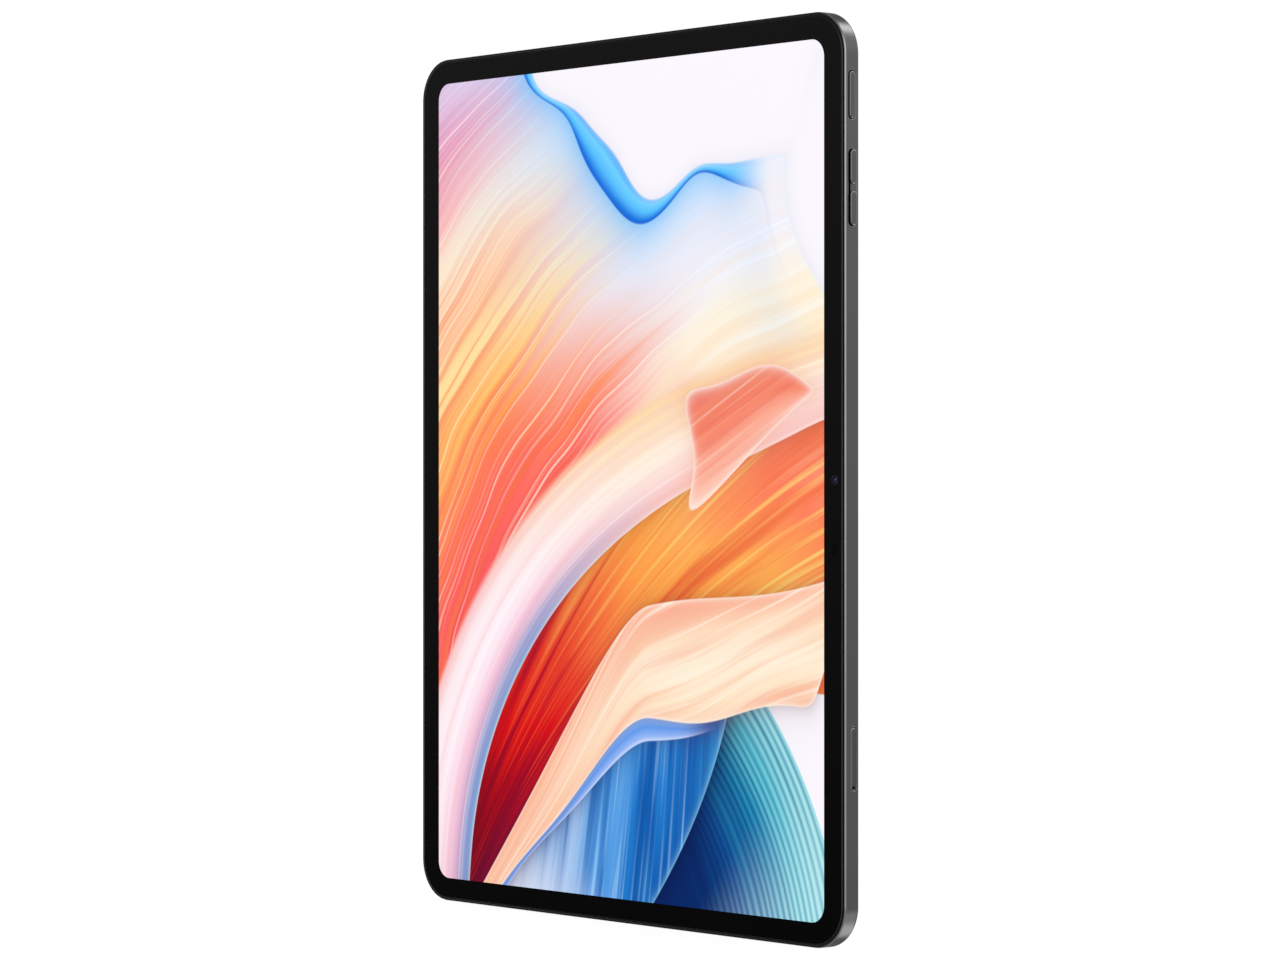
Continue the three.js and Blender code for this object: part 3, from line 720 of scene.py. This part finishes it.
def great_fan(under, s, t):
    """The large sheet: threads in wide arcs, lilac and pink outside, gold and coral inside,
    pale at its hem, where it rolls over into an azure lip."""
    reach, turn = polar(s, t, *ARC_POLE)
    sway = s.graph.noise(s * 1.1, t * 1.1, 7) - 0.5
    across = reach + sway * 0.2 + turn.smooth(2.5, 1.9) * 0.1
    broad, narrow, thread = folds(across, turn, 1, 4.5, 24)
    ribs = across + (narrow - 0.5) * 0.3 + (broad - 0.5) * 0.25
    inner = turn.smooth(2.1, 2.75, 2.2, 2.58)
    rich = shades(
        (ribs - inner) / (4.05 - inner),
        (0, 248, 84, 88), (0.12, 255, 108, 98), (0.24, 255, 146, 86), (0.34, 255, 186, 98),
        (0.44, 255, 226, 160), (0.53, 255, 186, 140), (0.62, 255, 234, 204), (0.72, 250, 186, 186),
        (0.82, 236, 150, 182), (0.91, 236, 184, 230), (1, 232, 196, 244))
    deep = shades(
        across.line(2.2, 4),
        (0, 242, 70, 70), (0.3, 250, 128, 74), (0.6, 250, 160, 120), (0.8, 216, 104, 146),
        (1, 196, 130, 210))
    pale = shades(
        ribs.line(2.1, 3.9),
        (0, 255, 226, 184), (0.16, 255, 244, 222), (0.3, 244, 242, 250), (0.55, 228, 238, 252),
        (0.8, 212, 232, 251), (1, 214, 218, 248))
    hem = (turn + (broad - 0.5) * 0.3 + (narrow - 0.5) * 0.22).smooth(2.42, 2.02)
    colour = drape(rich, narrow, thread, deep, srgb(255, 244, 220), 0.75, 0.6)
    whiter = drape(pale, narrow, thread, srgb(250, 214, 196), WHITE, 0.12, 0.45)
    colour = tint(colour, whiter, hem)
    bay, bay_turn = polar(s, t, 0.36, 1.86)
    wave = (bay_turn * 8 + 0.4).sine() * 0.055 + (bay_turn * 15).sine() * 0.015
    cove, cove_turn = polar(s, t, 1.5, 1)
    cove_wave = (cove_turn * 5 + 1).sine() * 0.02
    edge = (bay - 0.88 + wave).blunt_least(cove - 0.66 + cove_wave, 0.07)
    roll = (bay_turn * 6.5 + 2.2).sine() * 0.055 + 0.08
    azure = shades(
        edge / roll + (broad - 0.5) * 0.5,
        (0, 40, 150, 246), (0.3, 112, 208, 255), (0.6, 84, 190, 255), (0.9, 24, 118, 226), (1, 18, 104, 214))
    blue_end = cove.smooth(0.74, 1)
    colour = tint(colour, srgb(112, 194, 252), fade(edge - roll, 0.11) * blue_end * 0.8)
    colour = tint(colour, azure, (roll - edge).smooth(-0.004, 0.004) * blue_end)
    return lay(under, edge, colour, srgb(226, 242, 255), 0.7, 0.007, srgb(190, 190, 220), 0.2, 0.03)


def coral_fold(under, s, t):
    """A small turned-over sheet on the ribbon, which shows its coral inside."""
    across, up = s - 0.62, t - 0.18
    broad, narrow, thread = folds(up - across * 0.5, across, 61, 4, 18)
    top = 0.17 - across * across * 0.5 + (across * 10).sine() * 0.03
    bottom = across * 0.62 - 0.12 + (across * 7).sine() * 0.015
    end = across + 0.27 + (up * 13).sine() * 0.025
    edge = (top - up).blunt_least(up - bottom, 0.05).blunt_least(end, 0.12)
    colour = shades(
        (top - up) / (top - bottom) + (broad - 0.5) * 0.4,
        (0, 240, 132, 106), (0.4, 248, 134, 104), (0.7, 252, 170, 146), (1, 255, 206, 186))
    colour = drape(colour, narrow, thread, srgb(234, 104, 90), srgb(255, 226, 206), 0.4, 0.35)
    return lay(under, edge, colour, srgb(255, 240, 232), 0.85, 0.012, srgb(236, 150, 110), 0.3, 0.05)


def red_fan(under, s, t):
    """The sheet behind the ribbon: crimson low down, opening to orange and gold at the right."""
    reach, turn = polar(s, t, -1.15, -2.05)
    broad, narrow, thread = folds((turn + reach * 0.12) * 3, reach, 11, 3, 13)
    depth = reach + (narrow - 0.5) * 0.5 + (broad - 0.5) * 0.5
    colour = shades(
        depth.line(0.8, 3.1),
        (0, 128, 0, 18), (0.14, 172, 0, 20), (0.26, 224, 10, 16), (0.38, 232, 62, 40),
        (0.5, 246, 116, 62), (0.62, 255, 158, 70), (0.76, 255, 172, 84), (0.9, 254, 128, 92),
        (1, 252, 150, 120))
    deep = shades(reach.line(0.7, 2.9), (0, 112, 0, 22), (0.42, 176, 0, 42), (0.66, 226, 78, 44),
                  (1, 246, 112, 70))
    bright = shades(reach.line(1, 2.4), (0, 214, 30, 20), (0.4, 244, 100, 50), (1, 255, 216, 116))
    colour = drape(colour, narrow, thread, deep, bright, 0.8, 0.75)
    arc, arc_turn = polar(s, t, *ARC_POLE)
    return lay(under, ribbon_low(arc_turn) + 0.12 - arc, colour, shadow_share=0)


def ribbon_low(turn):
    """The inner edge of the ribbon, as a distance from the pole of the arcs."""
    return turn.smooth(1.9, 3, 1.86, 2.33)


def ribbon_high(turn):
    return turn.smooth(1.75, 3, 2.12, 2.68)


def pale_ribbon(under, s, t):
    """A broad cream and rose ribbon that sweeps from the right to the lower left."""
    reach, turn = polar(s, t, *ARC_POLE)
    low, high = ribbon_low(turn), ribbon_high(turn)
    share = (reach - low) / (high - low)
    broad, narrow, thread = folds(share, turn, 21, 2.2, 7)
    body = share + (broad - 0.5) * 0.3 + (narrow - 0.5) * 0.1
    near = shades(
        body, (0, 104, 146, 204), (0.1, 146, 160, 212), (0.22, 214, 170, 204), (0.38, 250, 206, 226),
        (0.6, 255, 240, 248), (0.82, 254, 236, 240), (1, 250, 190, 190))
    far = shades(
        body, (0, 250, 192, 186), (0.18, 253, 214, 210), (0.42, 255, 240, 226),
        (0.72, 255, 232, 196), (1, 255, 222, 164))
    colour = tint(far, near, turn.smooth(2.2, 2.7))
    colour = drape(colour, narrow, thread, srgb(246, 190, 190), WHITE, 0.3, 0.3)
    edge = reach - low
    under = lay(under, edge, under, shadow=srgb(120, 10, 20), shadow_width=0.035)
    soft = turn.line(1.8, 2.9, 0.08, 0.012)
    mask = edge.smooth(-OUTLINE_BLUR, OUTLINE_BLUR) * ((high - reach) / soft).smooth(-0.6, 0.6)
    return tint(under, tint(colour, WHITE, fade(edge, 0.009) * 0.5), mask)


def fall(s):
    """How far the cream sheet has dropped towards the left: nothing at the right, then ever steeper."""
    drop = (0.15 - s).at_least(0)
    return drop * drop / (drop + 0.3)


def cream_top(s):
    return s * 0.15 - fall(s) * 1.25 - 0.46 + (s * 5 + 0.6).sine() * 0.02


def cream_bottom(s):
    return s * 0.1 - fall(s) * 0.95 - 0.82 + (s * 9 + 1).sine() * 0.018


def cream_sheet(under, s, t):
    """A peach and cream sheet that climbs from the lower left to the right."""
    low, high = cream_bottom(s), cream_top(s)
    share = (t - low) / (high - low)
    broad, narrow, thread = folds(share - s * 0.7, s * 0.8 + share * 0.4, 31, 2.4, 7)
    colour = shades(
        share + (broad - 0.5) * 0.6 + (narrow - 0.5) * 0.3,
        (0, 252, 204, 176), (0.22, 255, 230, 200), (0.5, 255, 238, 214), (0.72, 255, 222, 192),
        (1, 252, 176, 148))
    colour = tint(colour, srgb(250, 160, 122), s.smooth(0.15, -0.6) * 0.6)
    colour = drape(colour, narrow, thread, srgb(248, 176, 146), srgb(255, 246, 228), 0.5, 0.6)
    edge = (t - low).at_most(high - t).blunt_least(1.14 - s + (t + 0.3) * 0.45, 0.08)
    return lay(under, edge, colour, srgb(255, 250, 238), 0.7, 0.008, srgb(120, 6, 30), 0.35, 0.03)


def left_blue(under, s, t):
    """The blue sheet in front, which hangs from the cream one in long threads."""
    bend = s + (t + 0.8) * (s - 0.9) * 0.16
    broad, narrow, thread = folds(bend, t, 41, 4, 16)
    colour = shades(
        0.62 - bend * 0.75 + (broad - 0.5) * 0.7 + (narrow - 0.5) * 0.4,
        (0, 90, 178, 228), (0.16, 40, 136, 208), (0.34, 14, 96, 180), (0.5, 32, 124, 208),
        (0.7, 92, 164, 232), (0.9, 170, 200, 240), (1, 214, 224, 244))
    colour = drape(colour, narrow, thread, srgb(6, 78, 160), srgb(170, 216, 250), 0.6, 0.5)
    corner = (s + t * 1.1).smooth(-1.55, -2.15)
    colour = tint(colour, srgb(232, 232, 244), corner * 0.8)
    under_lip = cream_bottom(s) - t
    width = (s * 6 + 1.2).sine() * 0.03 + 0.05
    lip = shades(under_lip / width, (0, 140, 190, 252), (0.4, 96, 164, 250), (0.8, 150, 186, 250),
                 (1, 206, 222, 255))
    colour = tint(colour, srgb(10, 60, 130), fade(under_lip - width, 0.05) * 0.5)
    on_lip = (width - under_lip).smooth(-OUTLINE_BLUR, OUTLINE_BLUR) * s.smooth(0.5, 0.3)
    colour = tint(colour, lip, on_lip)
    below = -0.8 - t
    edge = (0.53 - below * 0.35 - below * below * 0.4 - s).at_most(under_lip + 0.05)
    return lay(under, edge, colour, srgb(150, 220, 246), 0.6, 0.010, srgb(2, 22, 80), 0.8, 0.09)


def right_blue(under, s, t):
    """A finely ridged teal sheet behind the blue one."""
    reach, turn = polar(s, t, -0.35, -1.72)
    broad, narrow, thread = folds(reach, turn, 51, 5, 20)
    ridge = ((reach + (broad - 0.5) * 0.05) * 230).sine() * 0.5 + 0.5
    body = (reach - 0.85) / 0.62 + (broad - 0.5) * 0.3 + (narrow - 0.5) * 0.25
    colour = shades(
        body, (0, 4, 40, 104), (0.3, 12, 84, 156), (0.55, 36, 146, 192), (0.8, 106, 208, 224),
        (1, 170, 232, 238))
    lines = tint(srgb(2, 44, 110), srgb(6, 108, 150), body.smooth(0.2, 0.9))
    colour = tint(colour, lines, ridge * thread.line(0.3, 0.7, 0.35, 0.85))
    glare = (s - t * 0.8).smooth(1.5, 2.1) * (1 - ridge * 0.6) * 0.75
    colour = tint(colour, srgb(196, 242, 244), glare)
    edge = (1.47 - reach).at_most(cream_bottom(s) + 0.05 - t)
    return lay(under, edge, colour, srgb(120, 214, 232), 0.5, 0.012, shadow_share=0)


# ---- housing

def mouth_cutter(face):
    """A pill-shaped hole through the +X wall, with a shallow cut rim at its mouth."""
    gap, rim = face["gap"], MOUTH_RIM
    return [
        side_ring(pill((face["width"], face["length"]), grow), x, face["depth"], face["z"])
        for x, grow in ((HALF_W - 3.2, gap), (HALF_W - rim["deep"], gap),
                        (HALF_W + rim["deep"], gap + 2 * rim["across"]))
    ]


def end_cutter(size, end, x, depth, rim=0.12, steps=END_HOLE_STEPS):
    """A pill-shaped hole through a short wall, with a cut rim at its mouth."""
    return [
        end_ring(pill(size, grow, steps), end * (HALF_H - below), x, depth)
        for below, grow in ((SIDE_WALL + 0.8, 0), (rim, 0), (-0.3, rim + 0.3))
    ]


def antenna_ring(end, depth, grow=0):
    return [(a, y(depth), b + end * ANTENNA["z"]) for a, b in pill(ANTENNA["size"], grow)]


def housing_cutters():
    """Every opening in the housing, as one set of bodies: 0 is a hole's inside, whose near-black material is
    painted shade, and 1 and 2 are cut rims.
    """
    shape = Shape()
    for face in (POWER_KEY, VOLUME_KEY, CARD_TRAY):
        shape.loft(mouth_cutter(face), [0, 2])
    port = tuple(size + 2 * USB["gap"] for size in USB["size"])
    shape.loft(end_cutter(port, -1, 0, USB["depth"], 0.2, SMALL_ARC_STEPS), [0, 1])
    for x, end in MICROPHONES:
        shape.loft(end_cutter(MICROPHONE_SIZE, end, x, END_HOLE_DEPTH), [0, 1])
    for end in (1, -1):
        for side in (1, -1):
            for i in range(SPEAKER["slots"]):
                x = side * SPEAKER["x"] + (i - (SPEAKER["slots"] - 1) / 2) * SPEAKER["pitch"]
                shape.loft(end_cutter(SPEAKER["slot"], end, x, END_HOLE_DEPTH), [0, 1])
        shape.loft([antenna_ring(end, depth) for depth in (5.5, THICKNESS + 1)])
    ring = REAR_CAMERA["ring"] + 0.1
    return shape.discs([(ring, 5), (ring, THICKNESS + 1)], REAR_CAMERA)


def housing(m):
    """One metal shell: a curved back edge, flat sides, a bright front chamfer and a ledge inside."""
    rings, stripes = [], []
    for i in range(REAR_EDGE_STEPS + 1):
        turn = math.pi / 2 * i / REAR_EDGE_STEPS
        rings.append(body_ring(REAR_EDGE["across"] * (1 - math.sin(turn)),
                               THICKNESS - REAR_EDGE["deep"] * (1 - math.cos(turn))))
        stripes.append(0)
    across, front = FRONT_CHAMFER["across"], RIM_DEPTH + FRONT_CHAMFER["deep"]
    # From the rim land inwards (number 2) the shell takes the near-black inside material: painted shade in
    # the gap by the glass and inside the shell.
    for inset, depth, number in (
            (0, front, 1), (across - 0.03, RIM_DEPTH + 0.06, 1), (across, RIM_DEPTH, 2),
            (RIM_INSET, RIM_DEPTH + 0.06, 2), (RIM_INSET, LEDGE_DEPTH, 2), (SIDE_WALL, LEDGE_DEPTH, 2),
            (SIDE_WALL, FLOOR_DEPTH, 2)):
        rings.append(body_ring(inset, depth))
        stripes.append(number)
    shell = Shape().loft(rings, stripes[:-1], (0, 2))
    shell = shell.object("housing_shell", m["housing"], m["edge"], m["inside"])
    carve(shell, housing_cutters().object("openings", m["inside"], m["edge"], m["key_edge"]))
    finish_piece(shell, "housing_metal", "rear_housing")


def antenna_windows(m):
    """Plastic strips that fill the slots in the back, each with a wider foot inside."""
    foot = FLOOR_DEPTH - 0.05
    for name, end in (("top", 1), ("bottom", -1)):
        window = Shape().loft([antenna_ring(end, depth, grow) for grow, depth in (
            (0.9, 5.7), (0.9, foot), (-0.03, foot), (-0.03, THICKNESS - 0.03), (-0.06, THICKNESS))])
        finish_piece(window.object("antenna_strip_" + name, m["antenna"]), "antenna_plastic",
                     "antenna_window_" + name)


# ---- display

def display_frame(m):
    """The black plastic ring between the glass and the rim, with a foot under the glass."""
    inner = FRAME_INSET + FRAME_WIDTH
    lip, foot, foot_inset = 0.04, GLASS_THICKNESS + 0.05, 3.5
    rings = [body_ring(inset, depth) for inset, depth in (
        (FRAME_INSET, FRAME_BACK), (FRAME_INSET, FRAME_FRONT + lip), (FRAME_INSET + lip, FRAME_FRONT),
        (inner - lip, FRAME_FRONT), (inner, FRAME_FRONT + lip), (inner, foot),
        (foot_inset, foot), (foot_inset, FRAME_BACK))]
    piece = Shape().loft(rings, closed=True).object("display_frame_ring", m["plastic"])
    finish_piece(piece, "black_plastic", "display_frame")


def sensor_ring(depth):
    half_w, half_h = LIGHT_SENSOR["width"] / 2, LIGHT_SENSOR["height"] / 2
    return plate_ring(half_w, half_h, half_w * 0.8, depth, LIGHT_SENSOR["x"], LIGHT_SENSOR["z"],
                      SMALL_ARC_STEPS)


def picture_ring(depth, wider=0, taller=0):
    return plate_ring(PICTURE["half_w"] + wider, PICTURE["half_h"] + taller, PICTURE["radius"], depth,
                      PICTURE["x"], PICTURE["z"])


def cover_glass(m):
    """The glass border: black print under glass, a curved outer edge, and the opening the picture fills."""
    roll, across, deep = (GLASS_EDGE[key] for key in ("roll", "across", "deep"))
    rings = [body_ring(GLASS_INSET + inset, depth) for inset, depth in (
        (0, GLASS_THICKNESS), (0, deep), (across, roll * 0.4), (across + roll, roll * 0.1),
        (across + roll * 2, 0))]
    rings += [picture_ring(0), picture_ring(GLASS_THICKNESS)]
    # The curved edge strips (number 1) take the glass edge material with its painted highlight.
    shape = Shape().loft(rings, [0, 1, 1, 0, 0, 0, 0], closed=True)
    piece = shape.object("cover_glass_border", m["glass"], m["glass_edge"])
    windows = Shape()
    windows.loft([disc_ring(FRONT_CAMERA["window"], depth, FRONT_CAMERA["x"], FRONT_CAMERA["z"], 64)
                  for depth in (-1, 2)])
    windows.loft([sensor_ring(depth) for depth in (-1, 2)])
    carve(piece, windows.object("windows", m["glass"]))
    finish_piece(piece, "cover_glass", "cover_glass")


def screen(m):
    """The lit picture, flush with the glass, on its panel."""
    panel = (1.2, 0.9)
    back = GLASS_THICKNESS + 0.06
    rings = [picture_ring(0), picture_ring(back - 0.02), picture_ring(back, *panel),
             picture_ring(PANEL_BACK, *panel)]
    piece = Shape().loft(rings).object("screen_picture", m["picture"])
    finish_piece(piece, "display_panel", "lcd_panel")


def front_camera(m):
    """A black funnel under the glass with a small domed lens in it."""
    rim = FRONT_CAMERA["window"]
    funnel = [(0, 0.55), (0.78, 0.55), (0.82, 0.30), (1, 0.22), (1.12, 0), (1.3, 0), (rim, 0),
              (rim, 0.7), (0, 0.7)]
    piece = Shape().discs(funnel, FRONT_CAMERA, [0, 0, 0, 2, 2, 1, 1, 0])
    finish_piece(piece.object("front_camera_window", m["plastic"], m["glass"], m["camera_rim"]),
                 "black_plastic")
    dome = [(0, 0.17), (0.2, 0.18), (0.4, 0.22), (0.6, 0.29), (0.76, 0.38), (0.78, 0.5), (0, 0.5)]
    lens = Shape().discs(dome, FRONT_CAMERA).object("front_camera_dome", m["front_lens"])
    finish_piece(lens, "lens_glass")


def light_sensor(m):
    piece = Shape().loft([sensor_ring(0), sensor_ring(GLASS_THICKNESS)])
    finish_piece(piece.object("light_sensor_window", m["sensor"]), "black_plastic")


# ---- keys and card tray

def cap(shape, face, z, length, outer):
    """A key's cap: straight sides in the near-black inside material, painted shade for the gap round the key,
    a shallow cut edge that catches the light, and a flat top.
    """
    shoulder = outer - KEY_EDGE["deep"]
    rings = [side_ring(pill((face["width"], length), -shrink), x, face["depth"], z) for x, shrink in (
        (face["inner"], 0), (shoulder - 0.05, 0), (shoulder, KEY_EDGE["round"]),
        (outer, KEY_EDGE["across"]))]
    shape.loft(rings, [2, 2, 1], (2, 0))


def finish_key(m, shape, face, name, body):
    """Adds the plate behind a key's cap and turns both into the key."""
    x0, x1, front, back, half = face["flange"]
    shape.block(x0, x1, front, back, face["z"] - half, face["z"] + half)
    piece = shape.object(name, m["key"], m["key_edge"], m["inside"])
    finish_piece(piece, "key_metal", body, body=body)


def power_key(m):
    shape = Shape()
    cap(shape, POWER_KEY, POWER_KEY["z"], POWER_KEY["length"], HALF_W + POWER_KEY["proud"])
    finish_key(m, shape, POWER_KEY, "power_key_cap", "power_key")


def volume_key(m):
    """Two raised pads with round ends, joined by a lower and narrower bridge."""
    face, inset, waist = VOLUME_KEY, VOLUME_KEY["bridge_inset"], VOLUME_KEY["waist"]
    outer = HALF_W + face["proud"]
    length = (face["length"] - waist) / 2
    shape = Shape()
    for side in (1, -1):
        cap(shape, face, face["z"] + side * (face["length"] - length) / 2, length, outer)
    outline = rounded_rectangle((face["width"] - inset) / 2, waist / 2 + 0.9, 0.1, 3)
    bridge = [(a + inset / 2, b) for a, b in outline]
    top = outer - face["bridge_drop"]
    shape.loft([side_ring(bridge, x, face["depth"], face["z"]) for x in (face["inner"], top - 0.02, top)],
               [2, 0], (2, 0))
    finish_key(m, shape, face, "volume_key_cap", "volume_rocker")


def card_tray(m):
    """A face plate with a pin hole, and the carrier with two card pockets behind it."""
    face, body = CARD_TRAY, TRAY_BODY
    length = face["length"] - 2 * (face["end_gap"] - face["gap"])
    shape = Shape()
    cap(shape, face, face["z"], length, HALF_W + face["proud"])
    plate = shape.object("card_tray_face", m["tray"], m["key_edge"], m["inside"])
    pin = pill(PIN_HOLE["size"])
    # The pin hole's wall is in the near-black inside material: painted shade in the hole.
    hole = Shape().loft([side_ring([(a * k, b * k) for a, b in pin], x, face["depth"], PIN_HOLE["z"])
                         for x, k in ((92, 1), (HALF_W - 0.1, 1), (HALF_W + 0.1, 1.3))], [0, 1])
    carve(plate, hole.object("pin_hole", m["inside"], m["key_edge"]))
    finish_piece(plate, "key_metal", "card_tray", body="card_tray")
    # The carrier and its pockets are in the near-black inside material: painted shade behind the tray.
    carrier = Shape().block(body["x0"], body["x1"], body["front"], body["back"], body["z0"], body["z1"])
    carrier = carrier.object("card_tray_carrier", m["inside"])
    middle = (body["z0"] + body["z1"]) / 2
    z0, z1 = middle - CARD["width"] / 2, middle + CARD["width"] / 2
    ledge, front = CARD["ledge"], body["front"]
    pockets = Shape()
    for number in range(2):
        x0 = body["x0"] + CARD["first"] + number * CARD["pitch"]
        x1 = x0 + CARD["length"]
        pockets.block(x0, x1, front - 1, front + CARD["thickness"], z0, z1)
        pockets.block(x0 + ledge, x1 - ledge, front + 0.3, body["back"] + 1, z0 + ledge, z1 - ledge)
    carve(carrier, pockets.object("pockets", m["inside"]))
    finish_piece(carrier, "key_metal", body="card_tray")


# ---- rear camera and port

def rear_camera(m):
    """A metal collar round a glass pane, with a stepped barrel and a domed lens under it."""
    ring, window = REAR_CAMERA["ring"], REAR_CAMERA["window"]
    foot, foot_inside = ring + 1.3, FLOOR_DEPTH - 0.05
    top = THICKNESS + REAR_CAMERA["proud"]
    profile = [(5, 5.55), (foot, 5.55), (foot, foot_inside), (ring, foot_inside), (ring, top - 0.32),
               (ring - 0.08, top - 0.2), (ring - 0.3, top), (window + 0.28, top),
               (window + 0.12, top - 0.12), (window + 0.08, top - 0.65), (5, top - 0.65)]
    collar = Shape().discs(profile, REAR_CAMERA, [0, 0, 0, 0, 0, 1, 0, 1, 0, 0, 0], closed=True)
    finish_piece(collar.object("rear_camera_collar", m["camera_ring"], m["edge"]), "key_metal",
                 "rear_camera_ring")
    clear, pane_top = 3.3, top - 0.1
    pane = [(clear, pane_top - 0.5), (clear, pane_top - 0.06), (clear + 0.06, pane_top),
            (window - 0.08, pane_top), (window, pane_top - 0.08), (window, pane_top - 0.5)]
    glass = Shape().discs(pane, REAR_CAMERA, closed=True).object("rear_camera_pane", m["glass"])
    finish_piece(glass, "lens_glass", "rear_camera_glass")
    steps = [(3.08, 4.95), (3.08, 6.98)]
    for i in range(4):
        steps += [(3.12 + 0.05 * i, 6.98 + 0.05 * i), (3.12 + 0.05 * i, 7.03 + 0.05 * i)]
    steps += [(4.1, 7.2), (4.2, 7.1), (4.2, 4.95)]
    barrel = Shape().discs(steps, REAR_CAMERA, closed=True).object("rear_camera_barrel", m["plastic"])
    finish_piece(barrel, "black_plastic")
    dome = [(0, 5), (2.95, 5), (2.95, 6.5), (2.9, 6.56), (2.5, 6.56), (2.24, 6.6), (2.2, 6.66),
            (1.8, 6.8), (1.2, 6.93), (0.6, 7), (0, 7.02)]
    lens = Shape().discs(dome, REAR_CAMERA, [1, 1, 1, 1, 1, 0, 0, 0, 0, 0], (1, 0))
    finish_piece(lens.object("rear_camera_dome", m["rear_lens"], m["plastic"]), "lens_glass",
                 "rear_camera_lens", body="focus_lens")


def charging_port(m):
    """A steel shell that opens at the bottom, and a tongue with contacts on both sides."""
    z0 = USB["mouth"] - HALF_H
    z1 = z0 + USB["length"]
    wall, depth = USB["wall"], USB["depth"]
    rings = [end_ring(pill(USB["size"], grow), z, 0, depth) for grow, z in (
        (-wall, z1 - wall), (-wall, z0 + 0.12), (-wall + 0.12, z0), (-0.05, z0), (0, z0 + 0.05), (0, z1))]
    shell = Shape().loft(rings).object("port_shell", m["steel"])
    finish_piece(shell, "stainless_steel", "usb_c_shell")
    inner = z1 - wall - 0.05
    tongue = Shape()
    tip = rounded_rectangle(3.35, 0.35, 0.3, 6)
    tongue.loft([end_ring([(a * k, b * k) for a, b in tip], z, 0, depth)
                 for k, z in ((0.93, z0 + 0.9), (1, z0 + 1.05), (1, inner))])
    tongue.block(-3.7, 3.7, depth - 0.95, depth + 0.95, inner - 1, inner)
    for side in (-1, 1):
        for i in range(12):
            x, face = (i - 5.5) * 0.5, depth + side * 0.355
            tongue.block(x - 0.12, x + 0.12, face - 0.012, face + 0.012, z0 + 1.2, inner - 1.1, 1)
    finish_piece(tongue.object("port_tongue", m["plastic"], m["gold"]), "black_plastic", "usb_c_tongue")


# ---- carried-over CAD nodes

CORNERS = ("top_left", "top_right", "bottom_left", "bottom_right")
NODE_MATERIALS = {
    "backlight": ("backlight_unit",),
    "foam": ("display_adhesive",),
    "flex": ("display_flex", "key_flex", "main_flex", "antenna_flex_top", "antenna_flex_bottom"),
    "graphite": ("graphite_sheet",),
    "steel": ("key_bracket", "power_switch", "volume_up_switch", "volume_down_switch", "card_socket",
              "eject_rod", "eject_lever", "eject_lever_pin", "processor_shield", "power_shield",
              "connector_cover", "microphone_top", "microphone_bottom", "port_screw_1", "port_screw_2",
              *(f"board_screw_{number}" for number in range(1, 5))),
    "plastic": ("front_camera_module", "light_sensor", "rear_camera_module",
                *(f"speaker_{corner}" for corner in CORNERS)),
    "mesh": tuple(f"speaker_mesh_{corner}" for corner in CORNERS),
    "rubber": ("card_tray_seal",),
    "board": ("usb_board", "main_board", "battery_board"),
    "foil": ("battery_cell_upper", "battery_cell_lower"),
    "front_lens": ("front_camera_lens",),
}


def dress_nodes(m):
    for key, names in NODE_MATERIALS.items():
        for name in names:
            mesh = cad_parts[name].data
            mesh.materials.clear()
            mesh.materials.append(m[key])


bpy.context.scene.view_settings.view_transform = "Standard"
add_camera()
add_world()
add_floor()
add_lights()
materials = make_materials()
for build in (housing, antenna_windows, display_frame, cover_glass, screen, front_camera, light_sensor,
              power_key, volume_key, card_tray, rear_camera, charging_port, dress_nodes):
    build(materials)
